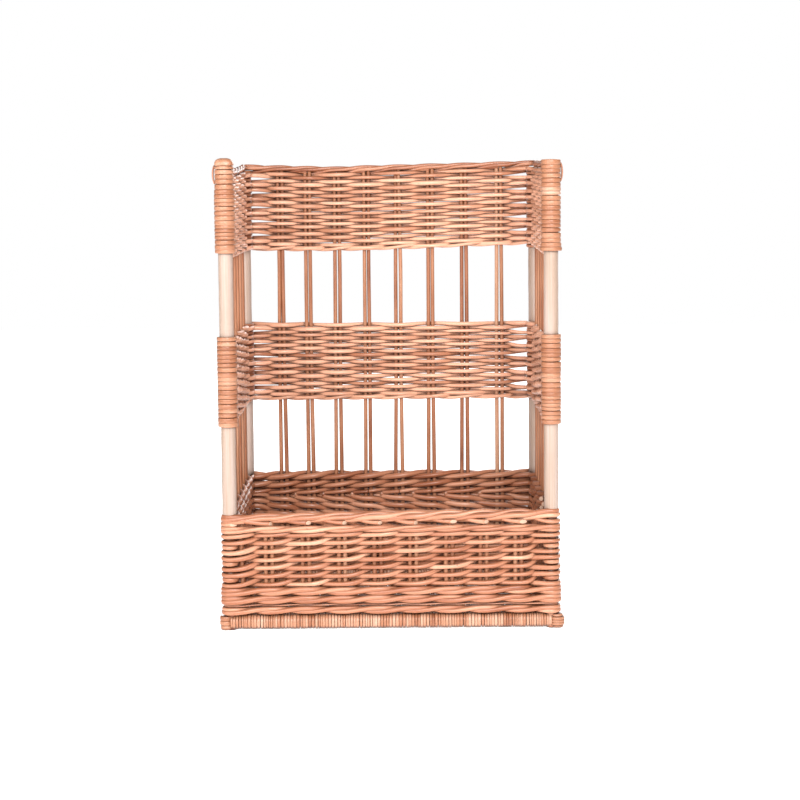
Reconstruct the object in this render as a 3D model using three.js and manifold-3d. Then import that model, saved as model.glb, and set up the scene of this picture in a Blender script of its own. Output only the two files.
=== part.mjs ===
// Baguette basket: a free-standing willow bin. Four peeled posts stand at the corners on a frame of rails.
// Pairs of stakes rise between the posts, and weavers run in front of and behind them: in a low wall all
// round, and in two bands across the back and the sides. The front stays open above the low wall.
import * as THREE from "three";
import { mergeVertices } from "three/addons/utils/BufferGeometryUtils.js";
import Module from "manifold-3d";

const wasm = await Module();
wasm.setup();

// Driving dimensions, in millimetres: posts
const POST_SPAN_X = 380; // post axis to post axis, left to right
const POST_SPAN_Y = 280; // post axis to post axis, front to back
const POST_HEIGHT = 553;
const POST_RADIUS = 8.5;
const POST_EDGE = 1.5; // chamfer at both ends of a post

// Base: rails between the posts, and a floor of sticks and a flat weaver
const RAIL_RADIUS = 5.6; // the rod inside the front rail's winding
const WRAPPED_RAIL_RADIUS = 8.2; // a rail with its skein, on the other three sides
const RAIL_LIFT = 0.5; // under the front rail's winding, so that the posts carry the basket
const FLOOR_STICK_RADIUS = 4;
const FLOOR_STICKS = 4;
const FLOOR_WEAVER_DEPTH = 3;
const FLOOR_ROWS = 30;

// Stakes: two rods side by side make a pair
const STAKE_RADIUS = 2.6;
const LONG_WALL_PAIRS = 8; // even numbers, so that a row starts and ends on opposite faces
const SHORT_WALL_PAIRS = 6;
const FRONT_PAIRS_LEFT = 46; // from the left post to the first pair of the front wall
const FRONT_PAIRS_RIGHT = 38.5; // from the last pair to the right post
const FRONT_PAIRS_BOW = 2.4; // how far the middle pairs stand to the right of even places
const REAR_PAIRS_ENDS = 47.5; // from a rear post to the nearest pair of the back
const REAR_PAIRS_BOW = 10; // how far the middle pairs of the back stand to the left, seen from the front

// Weave
const WEAVER_DEPTH = 5;
const WALE_RODS = 3; // in front of all but one stake in three, as with a wale of three rods
const BOTTOM_WALE_ROWS = 4;
const BOTTOM_WALE_PITCH = 8.25;
const LOW_WALL_ROWS_FRONT = 7;
const LOW_WALL_ROWS_ROUND = 9; // on the other three sides, which have no border here
const LOW_WALL_PITCH = 9.75;
const TOP_WALE_PITCH = 7;
const MID_BAND_BOTTOM = 243;
const MID_BAND_ROWS = 9;
const BAND_PITCH = 11.2;
const TOP_BAND_DROP = 113; // from the front posts' top to the bottom of the top band
const TOP_BAND_ROWS = 9;

// Rolled border: the stakes' own tips, turned down to the right
const BORDER_HEIGHT = 11.5;
const BORDER_DEPTH = 13;
const BORDER_WAIST = 0.86; // a groove between two rods, as a share of the border's outside
const BORDER_RODS = 3;
const BORDER_LAY = 4; // stake spacings in one full turn of the border's rods

// Windings of split willow skein
const SKEIN_THICKNESS = 2.2;
const POST_WINDING_PITCH = 5.9;
const TOP_WINDING_TURNS = 17;
const TOP_WINDING_LIFT = 6.8; // from the bottom of the top band to that of its winding
const MID_WINDING_TURNS = 17;
const RAIL_WINDING_TURNS = 24;

// Rim rod ends, bent down outside the front posts
const RIM_END_RADIUS = 1.8;
const RIM_END_HEIGHT = 22;
const RIM_END_BOW = 1.4;
const RIM_END_DROP = 4; // from the post's top

// Clearances
const SEAT_GAP = 0.3; // between pieces that touch
const ROW_GAP = 0.6; // between one row of weave and the next
const TURN_GAP = 0.5; // between one turn of a winding and the next

// Facets
const POST_SIDES = 16;
const ROD_SIDES = 10;
const STAKE_ARC_STEPS = 3;
const PAIR_NOTCH = Math.PI / 4; // where the outline of a pair steps from one rod to the other
const TURN_STEPS = 4; // stations where a weaver goes round a post
const BEND_STEPS = 2; // steps where a weaver turns back on itself
const POST_WINDING_STEPS = 8;
const RAIL_WINDING_STEPS = 6;
const BORDER_POINTS_PER_ROD = 2;
const BORDER_STEPS_PER_PAIR = 2;
const RIM_END_SIDES = 6;
const RIM_END_STEPS = 6;

// Sizes that follow from those above
const UP = new THREE.Vector3(0, 0, 1);
const OUTWARD = new THREE.Vector3(0, -1, 0);
const postWindingRadius = windingInside(POST_RADIUS, POST_WINDING_STEPS) + SKEIN_THICKNESS;
const railWindingRadius = windingInside(RAIL_RADIUS, RAIL_WINDING_STEPS) + SKEIN_THICKNESS;
const railAxis = RAIL_LIFT + Math.max(railWindingRadius, WRAPPED_RAIL_RADIUS);
const railTop = railAxis + Math.max(railWindingRadius, WRAPPED_RAIL_RADIUS);
const turnSweep = (2 * Math.PI) / (TURN_STEPS + 2); // angle between two stations round a post
const turnFlat = POST_RADIUS + SEAT_GAP + WEAVER_DEPTH / 2;
const turnRadius = turnFlat / Math.cos(turnSweep / 2);
const turnOutside = turnRadius + WEAVER_DEPTH / 2;
const railLengthX = POST_SPAN_X - 2 * (POST_RADIUS + SEAT_GAP);
const railLengthY = POST_SPAN_Y - 2 * (POST_RADIUS + SEAT_GAP);
const topBandBottom = POST_HEIGHT - TOP_BAND_DROP;
const topBandTop = topBandBottom + TOP_BAND_ROWS * BAND_PITCH; // the rear posts end here, under the border

// Walls, each drawn facing the front and then turned to its side of the basket
const RODS = { rodRadius: STAKE_RADIUS, depth: WEAVER_DEPTH };
const FRONT_WALL = {
  ...RODS,
  ...evenPairs(POST_SPAN_X, LONG_WALL_PAIRS),
  firstPair: FRONT_PAIRS_LEFT,
  lastPair: FRONT_PAIRS_RIGHT,
  bow: FRONT_PAIRS_BOW,
};
const REAR_WALL = {
  ...RODS,
  ...evenPairs(POST_SPAN_X, LONG_WALL_PAIRS),
  firstPair: REAR_PAIRS_ENDS,
  lastPair: REAR_PAIRS_ENDS,
  bow: REAR_PAIRS_BOW,
};
const SHORT_WALL = { ...RODS, ...evenPairs(POST_SPAN_Y, SHORT_WALL_PAIRS) };
const WALLS = {
  front: { ...FRONT_WALL, turn: 0, x: 0, y: -POST_SPAN_Y / 2 },
  right: { ...SHORT_WALL, turn: Math.PI / 2, x: POST_SPAN_X / 2, y: 0, frontEnd: -1 },
  rear: { ...REAR_WALL, turn: Math.PI, x: 0, y: POST_SPAN_Y / 2 },
  left: { ...SHORT_WALL, turn: -Math.PI / 2, x: -POST_SPAN_X / 2, y: 0, frontEnd: 1 },
};

// Finishes
const FINISHES = {
  post: { color: 0xf4e4d0, roughness: 0.55 },
  weaver: { color: 0xd99f6e, roughness: 0.6 },
  stake: { color: 0xb98055, roughness: 0.65 },
  skein: { color: 0xe3b184, roughness: 0.5 },
  floor: { color: 0xcd9765, roughness: 0.7 },
};

const basket = new THREE.Group();
const wallGroups = {};
for (const [side, wall] of Object.entries(WALLS)) {
  const group = new THREE.Group();
  group.rotation.z = wall.turn;
  group.position.set(wall.x, wall.y, 0);
  basket.add(group);
  wallGroups[side] = group;
}

// Adds one named piece, with a material of its own, to a group.
function addPiece(group, name, finish, geometry) {
  const material = new THREE.MeshStandardMaterial({ ...FINISHES[finish], metalness: 0 });
  const mesh = new THREE.Mesh(geometry, material);
  mesh.name = name;
  group.add(mesh);
  return mesh;
}

// A point of a wall: along it, out from its middle plane, and up.
function wallPoint(along, out, up) {
  return new THREE.Vector3(along, -out, up);
}

// Carries a section along a path. sideAt gives the direction of the section's first axis at each station.
function sweep(path, sectionAt, sideAt) {
  const positions = [];
  const indices = [];
  const last = path.length - 1;
  const sides = sectionAt(0).length;
  path.forEach((point, station) => {
    const before = path[Math.max(station - 1, 0)];
    const after = path[Math.min(station + 1, last)];
    const tangent = after.clone().sub(before).normalize();
    const first = sideAt(tangent, station).clone().projectOnPlane(tangent).normalize();
    const second = tangent.clone().cross(first);
    for (const [a, b] of sectionAt(station)) {
      const corner = point.clone().addScaledVector(first, a).addScaledVector(second, b);
      positions.push(corner.x, corner.y, corner.z);
    }
  });
  for (let station = 0; station < last; station += 1) {
    for (let k = 0; k < sides; k += 1) {
      const near = station * sides + k;
      const nearNext = station * sides + ((k + 1) % sides);
      indices.push(near, nearNext, nearNext + sides, near, nearNext + sides, near + sides);
    }
  }
  const end = last * sides;
  for (let k = 1; k + 1 < sides; k += 1) {
    indices.push(0, k + 1, k, end, end + k, end + k + 1);
  }
  const geometry = new THREE.BufferGeometry();
  geometry.setAttribute("position", new THREE.Float32BufferAttribute(positions, 3));
  geometry.setIndex(indices);
  return geometry;
}

// A weaver's section: a rod drawn with four corners, so that a long row has few faces.
function weaverSection(depth, height) {
  return [
    [depth / 2, 0],
    [0, height / 2],
    [-depth / 2, 0],
    [0, -height / 2],
  ];
}

// A skein's section: flat, with its width along the winding.
function skeinSection(width) {
  return [
    [SKEIN_THICKNESS / 2, -width / 2],
    [SKEIN_THICKNESS / 2, width / 2],
    [-SKEIN_THICKNESS / 2, width / 2],
    [-SKEIN_THICKNESS / 2, -width / 2],
  ];
}

// A wall whose pairs of stakes stand at even distances from each other and from the posts.
function evenPairs(span, pairs) {
  const spacing = span / (pairs + 1);
  return { span, pairs, firstPair: spacing, lastPair: spacing, bow: 0 };
}

// Where a pair of stakes stands along its wall.
function pairPlace(wall, pair) {
  const share = pair / (wall.pairs - 1);
  const even = wall.firstPair + (wall.span - wall.firstPair - wall.lastPair) * share;
  return -wall.span / 2 + even + wall.bow * Math.sin(Math.PI * share);
}

// The least distance between two neighbouring pairs of a wall.
function leastSpacing(wall) {
  let least = Infinity;
  for (let pair = 1; pair < wall.pairs; pair += 1) {
    least = Math.min(least, pairPlace(wall, pair) - pairPlace(wall, pair - 1));
  }
  return least;
}

// How far a weaver's middle stands from the wall's plane at a stake, so that it just clears both rods on
// its way to the next stake, or at the wall's end over a run of endRun to a place endOut from the plane.
function weaverReach(wall, endRun, endOut) {
  const touch = wall.rodRadius + SEAT_GAP + wall.depth / 2;
  const between = touch / (1 - (2 * wall.rodRadius) / leastSpacing(wall));
  const atEnd = (touch + (wall.rodRadius * endOut) / endRun) / (1 - wall.rodRadius / endRun);
  return Math.max(between, atEnd);
}

// Randing: in front of one stake and behind the next, changing over with every row.
function randSide(wall) {
  return (row, pair) => ((wall.pairs - 1 - pair + row) % 2 === 0 ? -1 : 1);
}

// Waling: in front of two stakes and behind one, stepping along by one with every row.
function waleSide() {
  return (row, pair) => ((row + pair) % WALE_RODS === 0 ? -1 : 1);
}

// The height of a row's middle.
function rowLevel(zone, row) {
  return zone.bottom + zone.pitch * (row + 0.5);
}

// One row's stations at the stakes, in the direction in which the row runs.
function rowStations(wall, zone, sideAt, row, heading, reach) {
  const stations = [];
  for (let step = 0; step < wall.pairs; step += 1) {
    const pair = heading > 0 ? step : wall.pairs - 1 - step;
    stations.push(wallPoint(pairPlace(wall, pair), reach * sideAt(row, pair), rowLevel(zone, row)));
  }
  return stations;
}

// One unbroken weaver that goes to and fro along a wall and turns round the corner posts.
function weaverRoundPosts(wall, zone, sideAt) {
  const half = wall.span / 2;
  const tuck = turnRadius * Math.sin(turnSweep / 2);
  const reach = weaverReach(wall, Math.min(wall.firstPair, wall.lastPair) - tuck, turnFlat);
  const path = [
    wallPoint(-half, -turnFlat, rowLevel(zone, 0)),
    wallPoint(-half + tuck, -turnFlat, rowLevel(zone, 0)),
  ];
  for (let row = 0; row < zone.rows; row += 1) {
    const heading = row % 2 === 0 ? 1 : -1;
    const level = rowLevel(zone, row);
    const climb = row + 1 < zone.rows ? zone.pitch : 0;
    path.push(...rowStations(wall, zone, sideAt, row, heading, reach));
    for (let k = 0; k < TURN_STEPS; k += 1) {
      const angle = turnSweep * ((TURN_STEPS - 1) / 2 - k);
      const along = heading * (half + turnRadius * Math.cos(angle));
      path.push(wallPoint(along, turnRadius * Math.sin(angle), level + (climb * k) / (TURN_STEPS - 1)));
    }
    if (climb === 0) {
      path.push(wallPoint(heading * (half - tuck - wall.depth), -turnFlat, level));
    }
  }
  const section = weaverSection(wall.depth, zone.pitch - ROW_GAP);
  return sweep(path, () => section, (tangent) => tangent.clone().cross(UP));
}

// One unbroken weaver that turns back on itself just short of the posts, or of what is wound on them.
// keepOff gives the distance from the post axes at the wall's low and high end.
function weaverBetweenPosts(wall, zone, sideAt, keepOff) {
  const half = wall.span / 2;
  const bend = zone.pitch / 2;
  const height = zone.pitch - ROW_GAP;
  const endOf = (heading) => heading * half - heading * (heading > 0 ? keepOff.high : keepOff.low);
  const endSpace = Math.min(wall.firstPair, wall.lastPair) - Math.max(keepOff.low, keepOff.high);
  const endRun = endSpace - bend - height / 2;
  const reach = weaverReach(wall, endRun, 0);
  const path = [wallPoint(endOf(-1), 0, rowLevel(zone, 0))];
  for (let row = 0; row < zone.rows; row += 1) {
    const heading = row % 2 === 0 ? 1 : -1;
    const level = rowLevel(zone, row);
    path.push(...rowStations(wall, zone, sideAt, row, heading, reach));
    if (row + 1 === zone.rows) {
      path.push(wallPoint(endOf(heading), 0, level));
      continue;
    }
    const centre = endOf(heading) - heading * (bend + height / 2);
    for (let k = 0; k <= BEND_STEPS; k += 1) {
      const angle = Math.PI * (k / BEND_STEPS - 0.5);
      const along = centre + heading * bend * Math.cos(angle);
      path.push(wallPoint(along, 0, level + bend * (1 + Math.sin(angle))));
    }
  }
  const section = weaverSection(wall.depth, height);
  return sweep(path, () => section, () => OUTWARD);
}

// The inner corners of a winding whose straight steps clear a round core.
function windingInside(radius, steps) {
  return (radius + SEAT_GAP) / Math.cos(Math.PI / steps);
}

// A winding of flat skein on an upright of the given radius, standing on z = 0. Its ends leave straight.
function winding(name, radius, pitch, turns, steps) {
  const middle = windingInside(radius, steps) + SKEIN_THICKNESS / 2;
  const slope = Math.atan(pitch / (2 * Math.PI * (radius + SEAT_GAP)));
  const width = pitch * Math.cos(slope) - TURN_GAP;
  const radials = [];
  const path = [];
  for (let k = 0; k <= turns * steps; k += 1) {
    const angle = (2 * Math.PI * k) / steps;
    const radial = new THREE.Vector3(Math.cos(angle), Math.sin(angle), 0);
    radials.push(radial);
    path.push(radial.clone().multiplyScalar(middle).addScaledVector(UP, (pitch * k) / steps + pitch / 2));
  }
  const leave = new THREE.Vector3(0, SKEIN_THICKNESS, 0);
  path.unshift(path[0].clone().sub(leave));
  path.push(path.at(-1).clone().add(leave));
  radials.unshift(radials[0]);
  radials.push(radials.at(-1));
  const section = skeinSection(width);
  const geometry = sweep(path, () => section, (tangent, station) => radials[station]);
  const gap = leastGap(geometry, section.length, steps);
  console.log(`${name}: least gap between turns ${gap.toFixed(2)} mm`);
  return geometry;
}

// The least distance from a winding's corners to its long edges about a turn or more further on.
function leastGap(geometry, sides, steps) {
  const corners = geometry.getAttribute("position");
  const here = new THREE.Vector3();
  const nearest = new THREE.Vector3();
  const edge = new THREE.Line3();
  let least = Infinity;
  for (let a = 0; a < corners.count; a += 1) {
    here.fromBufferAttribute(corners, a);
    const from = a - (a % sides) + (steps - 2) * sides;
    for (let b = from; b < Math.min(from + 2 * steps * sides, corners.count - sides); b += 1) {
      edge.start.fromBufferAttribute(corners, b);
      edge.end.fromBufferAttribute(corners, b + sides);
      edge.closestPointToPoint(here, true, nearest);
      least = Math.min(least, here.distanceTo(nearest));
    }
  }
  return least;
}

// A geometry as a solid for joining: only positions are kept, with shared corners merged.
function toSolid(geometry) {
  const bare = geometry.clone();
  bare.deleteAttribute("normal");
  bare.deleteAttribute("uv");
  const merged = mergeVertices(bare);
  const vertProperties = merged.getAttribute("position").array;
  const triVerts = new Uint32Array(merged.getIndex().array);
  return new wasm.Manifold(new wasm.Mesh({ numProp: 3, vertProperties, triVerts }));
}

// A joined solid as a geometry again.
function toGeometry(solid) {
  const mesh = solid.getMesh();
  const geometry = new THREE.BufferGeometry();
  geometry.setAttribute("position", new THREE.BufferAttribute(mesh.vertProperties, 3));
  geometry.setIndex(new THREE.BufferAttribute(mesh.triVerts, 1));
  return geometry;
}

// The outline of a pair of stakes, seen from above: two round rods side by side.
function pairOutline() {
  const outline = new THREE.Shape();
  outline.absarc(STAKE_RADIUS, 0, STAKE_RADIUS, PAIR_NOTCH - Math.PI, Math.PI - PAIR_NOTCH);
  outline.absarc(-STAKE_RADIUS, 0, STAKE_RADIUS, PAIR_NOTCH, 2 * Math.PI - PAIR_NOTCH);
  outline.closePath();
  return outline;
}

// A border's section at a place along the wall: rods laid side by side, turning as the border runs.
function borderSection(wall, along) {
  const lay = BORDER_LAY * (wall.span / (wall.pairs + 1));
  const count = BORDER_RODS * BORDER_POINTS_PER_ROD;
  const corners = [];
  for (let k = 0; k < count; k += 1) {
    const angle = 2 * Math.PI * (k / count - along / lay);
    const swell = k % BORDER_POINTS_PER_ROD === 0 ? 1 : BORDER_WAIST;
    const out = (BORDER_DEPTH / 2) * swell * Math.cos(angle);
    const down = (BORDER_HEIGHT / 2) * swell * Math.sin(angle);
    corners.push([out, down]);
  }
  return corners;
}

// A wall's stakes with the border that their tips make, as one piece. keepOff is as for a weaver.
function stakesWithBorder(wall, bottom, top, keepOff) {
  const level = top - BORDER_HEIGHT / 2;
  const low = -wall.span / 2 + keepOff.low;
  const high = wall.span / 2 - keepOff.high;
  const steps = BORDER_STEPS_PER_PAIR * (wall.pairs + 1);
  const path = [];
  for (let k = 0; k <= steps; k += 1) {
    path.push(wallPoint(low + ((high - low) * k) / steps, 0, level));
  }
  const border = sweep(path, (station) => borderSection(wall, path[station].x), () => OUTWARD);
  const options = { depth: level - bottom, bevelEnabled: false, curveSegments: STAKE_ARC_STEPS };
  let joined = toSolid(border);
  for (let pair = 0; pair < wall.pairs; pair += 1) {
    const stake = new THREE.ExtrudeGeometry(pairOutline(), options);
    stake.translate(pairPlace(wall, pair), 0, bottom);
    joined = joined.add(toSolid(stake));
  }
  return toGeometry(joined);
}

// A round bar along X, centred on the origin.
function barAlongX(radius, length) {
  const bar = new THREE.CylinderGeometry(radius, radius, length, ROD_SIDES);
  bar.rotateZ(Math.PI / 2);
  return bar;
}

// A post of the given height, chamfered at both ends and standing on z = 0.
function postShaft(height) {
  const profile = [
    new THREE.Vector2(0, 0),
    new THREE.Vector2(POST_RADIUS - POST_EDGE, 0),
    new THREE.Vector2(POST_RADIUS, POST_EDGE),
    new THREE.Vector2(POST_RADIUS, height - POST_EDGE),
    new THREE.Vector2(POST_RADIUS - POST_EDGE, height),
    new THREE.Vector2(0, height),
  ];
  const shaft = new THREE.LatheGeometry(profile, POST_SIDES);
  shaft.rotateX(Math.PI / 2);
  return shaft;
}

// Posts. The rear ones end under the border.
for (const [depthName, depthSign, height] of [["front", -1, POST_HEIGHT], ["rear", 1, topBandTop]]) {
  for (const [sideName, sideSign] of [["left", -1], ["right", 1]]) {
    const shaft = postShaft(height);
    const post = addPiece(basket, `post_${depthName}_${sideName}`, "post", shaft);
    post.position.set((sideSign * POST_SPAN_X) / 2, (depthSign * POST_SPAN_Y) / 2, 0);
  }
}

// Base rails. The front one is a rod inside a winding, and the others are drawn with their skein on.
const frontRail = addPiece(wallGroups.front, "rail_front", "stake", barAlongX(RAIL_RADIUS, railLengthX));
frontRail.position.z = railAxis;
for (const side of ["right", "rear", "left"]) {
  const length = side === "rear" ? railLengthX : railLengthY;
  const rail = addPiece(wallGroups[side], `rail_${side}`, "skein", barAlongX(WRAPPED_RAIL_RADIUS, length));
  rail.position.z = railAxis;
}
const railPitch = railLengthX / (RAIL_WINDING_TURNS + 1);
const railSkein = winding("front rail", RAIL_RADIUS, railPitch, RAIL_WINDING_TURNS, RAIL_WINDING_STEPS);
railSkein.rotateY(Math.PI / 2);
const railWinding = addPiece(wallGroups.front, "rail_front_winding", "skein", railSkein);
railWinding.position.set(-railLengthX / 2, 0, railAxis);

// Floor: sticks from side to side, and one flat weaver that runs to and fro across them
const floorPanel = {
  ...evenPairs(POST_SPAN_Y, FLOOR_STICKS),
  rodRadius: FLOOR_STICK_RADIUS,
  depth: FLOOR_WEAVER_DEPTH,
};
const floorWidth = POST_SPAN_X - 2 * (WRAPPED_RAIL_RADIUS + SEAT_GAP);
for (let stick = 0; stick < FLOOR_STICKS; stick += 1) {
  const rod = barAlongX(FLOOR_STICK_RADIUS, floorWidth);
  const bar = addPiece(basket, `floor_stick_${stick + 1}`, "floor", rod);
  bar.position.set(0, pairPlace(floorPanel, stick), railAxis);
}
const floorKeepOff = {
  low: railWindingRadius + SEAT_GAP,
  high: WRAPPED_RAIL_RADIUS + SEAT_GAP,
};
const floorZone = { bottom: -floorWidth / 2, rows: FLOOR_ROWS, pitch: floorWidth / FLOOR_ROWS };
const floorWeave = weaverBetweenPosts(floorPanel, floorZone, randSide(floorPanel), floorKeepOff);
const floorWeaver = addPiece(basket, "floor_weaver", "floor", floorWeave);
floorWeaver.quaternion.setFromAxisAngle(new THREE.Vector3(1, 1, 1).normalize(), (2 * Math.PI) / 3);
floorWeaver.position.z = railAxis;

// Low wall: bottom wale, randing and top wale on each side
const bottomWale = { bottom: railTop + SEAT_GAP, rows: BOTTOM_WALE_ROWS, pitch: BOTTOM_WALE_PITCH };
const lowWallBottom = bottomWale.bottom + bottomWale.rows * bottomWale.pitch;
const sideKeepOff = { low: turnOutside + SEAT_GAP, high: turnOutside + SEAT_GAP };
const topWaleBottom = (rows) => lowWallBottom + rows * LOW_WALL_PITCH;
for (const [side, wall] of Object.entries(WALLS)) {
  const rows = side === "front" ? LOW_WALL_ROWS_FRONT : LOW_WALL_ROWS_ROUND;
  const lowWall = { bottom: lowWallBottom, rows, pitch: LOW_WALL_PITCH };
  const topWale = { bottom: topWaleBottom(rows), rows: 1, pitch: TOP_WALE_PITCH };
  const turnsRoundPosts = wall.frontEnd === undefined;
  const weave = (zone, pattern) =>
    turnsRoundPosts
      ? weaverRoundPosts(wall, zone, pattern)
      : weaverBetweenPosts(wall, zone, pattern, sideKeepOff);
  addPiece(wallGroups[side], `bottom_wale_${side}`, "weaver", weave(bottomWale, waleSide()));
  addPiece(wallGroups[side], `low_weave_${side}`, "weaver", weave(lowWall, randSide(wall)));
  addPiece(wallGroups[side], `top_wale_${side}`, "weaver", weave(topWale, waleSide()));
}

// Bands on the back and the sides. On the sides, the front end stops at the front post's winding.
const bands = {
  mid: { bottom: MID_BAND_BOTTOM, rows: MID_BAND_ROWS, pitch: BAND_PITCH },
  top: { bottom: topBandBottom, rows: TOP_BAND_ROWS, pitch: BAND_PITCH },
};
function bandKeepOff(wall, front, rear) {
  return wall.frontEnd < 0 ? { low: front, high: rear } : { low: rear, high: front };
}
const windingKeepOff = postWindingRadius + SEAT_GAP;
for (const [band, zone] of Object.entries(bands)) {
  const rearWeaver = weaverRoundPosts(WALLS.rear, zone, randSide(WALLS.rear));
  addPiece(wallGroups.rear, `${band}_band_rear`, "weaver", rearWeaver);
  for (const side of ["right", "left"]) {
    const wall = WALLS[side];
    const keepOff = bandKeepOff(wall, windingKeepOff, turnOutside + SEAT_GAP);
    const sideWeaver = weaverBetweenPosts(wall, zone, randSide(wall), keepOff);
    addPiece(wallGroups[side], `${band}_band_${side}`, "weaver", sideWeaver);
  }
}

// Stakes and borders. The front ones end at the low wall, and the others at the top, where the border of the
// back lies on the rear posts and those of the sides stop just short of it.
const stakeBottom = railTop + SEAT_GAP;
const postKeepOff = POST_RADIUS + SEAT_GAP;
const bothPosts = { low: postKeepOff, high: postKeepOff };
const overPosts = { low: -BORDER_DEPTH / 2, high: -BORDER_DEPTH / 2 };
const topBorderTop = topBandTop + SEAT_GAP + BORDER_HEIGHT;
const frontBorderTop = topWaleBottom(LOW_WALL_ROWS_FRONT) + TOP_WALE_PITCH + SEAT_GAP + BORDER_HEIGHT;
const frontStakes = stakesWithBorder(WALLS.front, stakeBottom, frontBorderTop, bothPosts);
addPiece(wallGroups.front, "stakes_and_border_front", "stake", frontStakes);
const rearStakes = stakesWithBorder(WALLS.rear, stakeBottom, topBorderTop, overPosts);
addPiece(wallGroups.rear, "stakes_and_border_rear", "stake", rearStakes);
for (const side of ["right", "left"]) {
  const keepOff = bandKeepOff(WALLS[side], windingKeepOff, BORDER_DEPTH / 2 + SEAT_GAP);
  const stakes = stakesWithBorder(WALLS[side], stakeBottom, topBorderTop, keepOff);
  addPiece(wallGroups[side], `stakes_and_border_${side}`, "stake", stakes);
}

// Skein windings that bind the side bands to the front posts, and the rim rods' ends outside them
const rimEndSection = [];
for (let k = 0; k < RIM_END_SIDES; k += 1) {
  const angle = (2 * Math.PI * k) / RIM_END_SIDES;
  rimEndSection.push([RIM_END_RADIUS * Math.cos(angle), RIM_END_RADIUS * Math.sin(angle)]);
}
for (const [sideName, sideSign] of [["left", -1], ["right", 1]]) {
  const postX = (sideSign * POST_SPAN_X) / 2;
  const postY = -POST_SPAN_Y / 2;
  for (const [band, bottom, turns] of [
    ["mid", MID_BAND_BOTTOM, MID_WINDING_TURNS],
    ["top", topBandBottom + TOP_WINDING_LIFT, TOP_WINDING_TURNS],
  ]) {
    const name = `${band}_winding_${sideName}`;
    const skein = winding(name, POST_RADIUS, POST_WINDING_PITCH, turns, POST_WINDING_STEPS);
    const bound = addPiece(basket, name, "skein", skein);
    bound.position.set(postX, postY, bottom);
  }
  const rimEndPath = [];
  for (let k = 0; k <= RIM_END_STEPS; k += 1) {
    const share = k / RIM_END_STEPS;
    const bow = RIM_END_BOW * Math.sin(Math.PI * share);
    const out = postWindingRadius + SEAT_GAP + RIM_END_RADIUS + bow;
    const level = POST_HEIGHT - RIM_END_DROP - RIM_END_HEIGHT * share;
    rimEndPath.push(new THREE.Vector3(postX + sideSign * out, postY, level));
  }
  addPiece(basket, `rim_end_${sideName}`, "weaver", sweep(rimEndPath, () => rimEndSection, () => OUTWARD));
}

export default basket;
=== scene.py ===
"""Dresses a tall free-standing willow basket, rod by rod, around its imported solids.

Four peeled posts carry a low wall on all sides and two woven bands on the back and the sides. Every rod is
a profile carried along a path: sizes are in millimetres here and become metres in the meshes.
"""

import logging
import math
from dataclasses import dataclass, field
from enum import Enum

import bpy
import numpy as np
from mathutils import Matrix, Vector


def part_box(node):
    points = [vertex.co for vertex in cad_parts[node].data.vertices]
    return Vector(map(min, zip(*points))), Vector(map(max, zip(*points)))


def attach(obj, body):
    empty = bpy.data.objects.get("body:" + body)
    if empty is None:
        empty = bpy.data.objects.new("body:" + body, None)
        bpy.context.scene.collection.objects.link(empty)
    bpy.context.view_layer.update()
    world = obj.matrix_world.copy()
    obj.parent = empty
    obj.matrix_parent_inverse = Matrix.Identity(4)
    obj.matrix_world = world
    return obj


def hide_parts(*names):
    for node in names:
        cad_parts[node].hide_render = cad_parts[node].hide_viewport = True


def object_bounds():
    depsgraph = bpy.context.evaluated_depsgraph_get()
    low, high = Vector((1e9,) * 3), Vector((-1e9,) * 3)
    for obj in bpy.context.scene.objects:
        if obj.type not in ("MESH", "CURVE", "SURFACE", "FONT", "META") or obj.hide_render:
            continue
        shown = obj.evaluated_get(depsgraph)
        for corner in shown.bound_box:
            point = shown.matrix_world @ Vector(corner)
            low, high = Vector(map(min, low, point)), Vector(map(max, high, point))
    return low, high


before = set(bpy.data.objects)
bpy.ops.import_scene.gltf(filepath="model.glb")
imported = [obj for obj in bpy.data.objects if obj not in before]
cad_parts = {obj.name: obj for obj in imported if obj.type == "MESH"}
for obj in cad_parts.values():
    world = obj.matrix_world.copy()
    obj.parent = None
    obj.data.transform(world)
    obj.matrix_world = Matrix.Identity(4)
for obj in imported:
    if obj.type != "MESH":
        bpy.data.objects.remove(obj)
CAD_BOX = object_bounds()

LOG = logging.getLogger("basket")
MM = 0.001
UP = np.array([0.0, 0.0, 1.0])
FRONT = np.array([0.0, -1.0, 0.0])
GRAIN_MM = 900.0  # a rod starts anywhere in this much grain, so that no two look alike

# Names of what the materials read from a mesh
ROD_SPACE = "rod_space"  # a rod straightened out: along it, and two ways across it, in millimetres
ROD_TONE = "rod_tone"  # how pale a rod is: about -1 for dark, 0 for middling and 1 for pale
CUT_FACE = "cut_face"  # 1 on a rod's cut ends

Values = np.ndarray | float  # one value each, or one for all
Pair = tuple[float, float]


class Slot(Enum):
    """The record's material slots."""

    POST = "post_wood"
    WEAVER = "weaver_willow"
    STAKE = "stake_willow"
    SKEIN = "skein_willow"
    FLOOR = "floor_willow"


class Side(Enum):
    """The basket's four walls, in order to the right as seen from outside."""

    FRONT = "front"
    RIGHT = "right"
    REAR = "rear"
    LEFT = "left"


class Level(Enum):
    """The two levels that have a band of weave."""

    MID = "mid"
    TOP = "top"


HANDS = {Side.LEFT: -1, Side.RIGHT: 1}  # which way each lies along X


def linear(colour: str) -> tuple[float, float, float, float]:
    """Turns an sRGB hex colour into linear red, green, blue and alpha.

    Args:
        colour: the colour as "#rrggbb".

    Returns:
        The linear values, with an alpha of one.
    """
    parts = [int(colour[k:k + 2], 16) / 255 for k in (1, 3, 5)]
    lit = [p / 12.92 if p <= 0.04045 else ((p + 0.055) / 1.055) ** 2.4 for p in parts]
    return (lit[0], lit[1], lit[2], 1.0)


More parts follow.
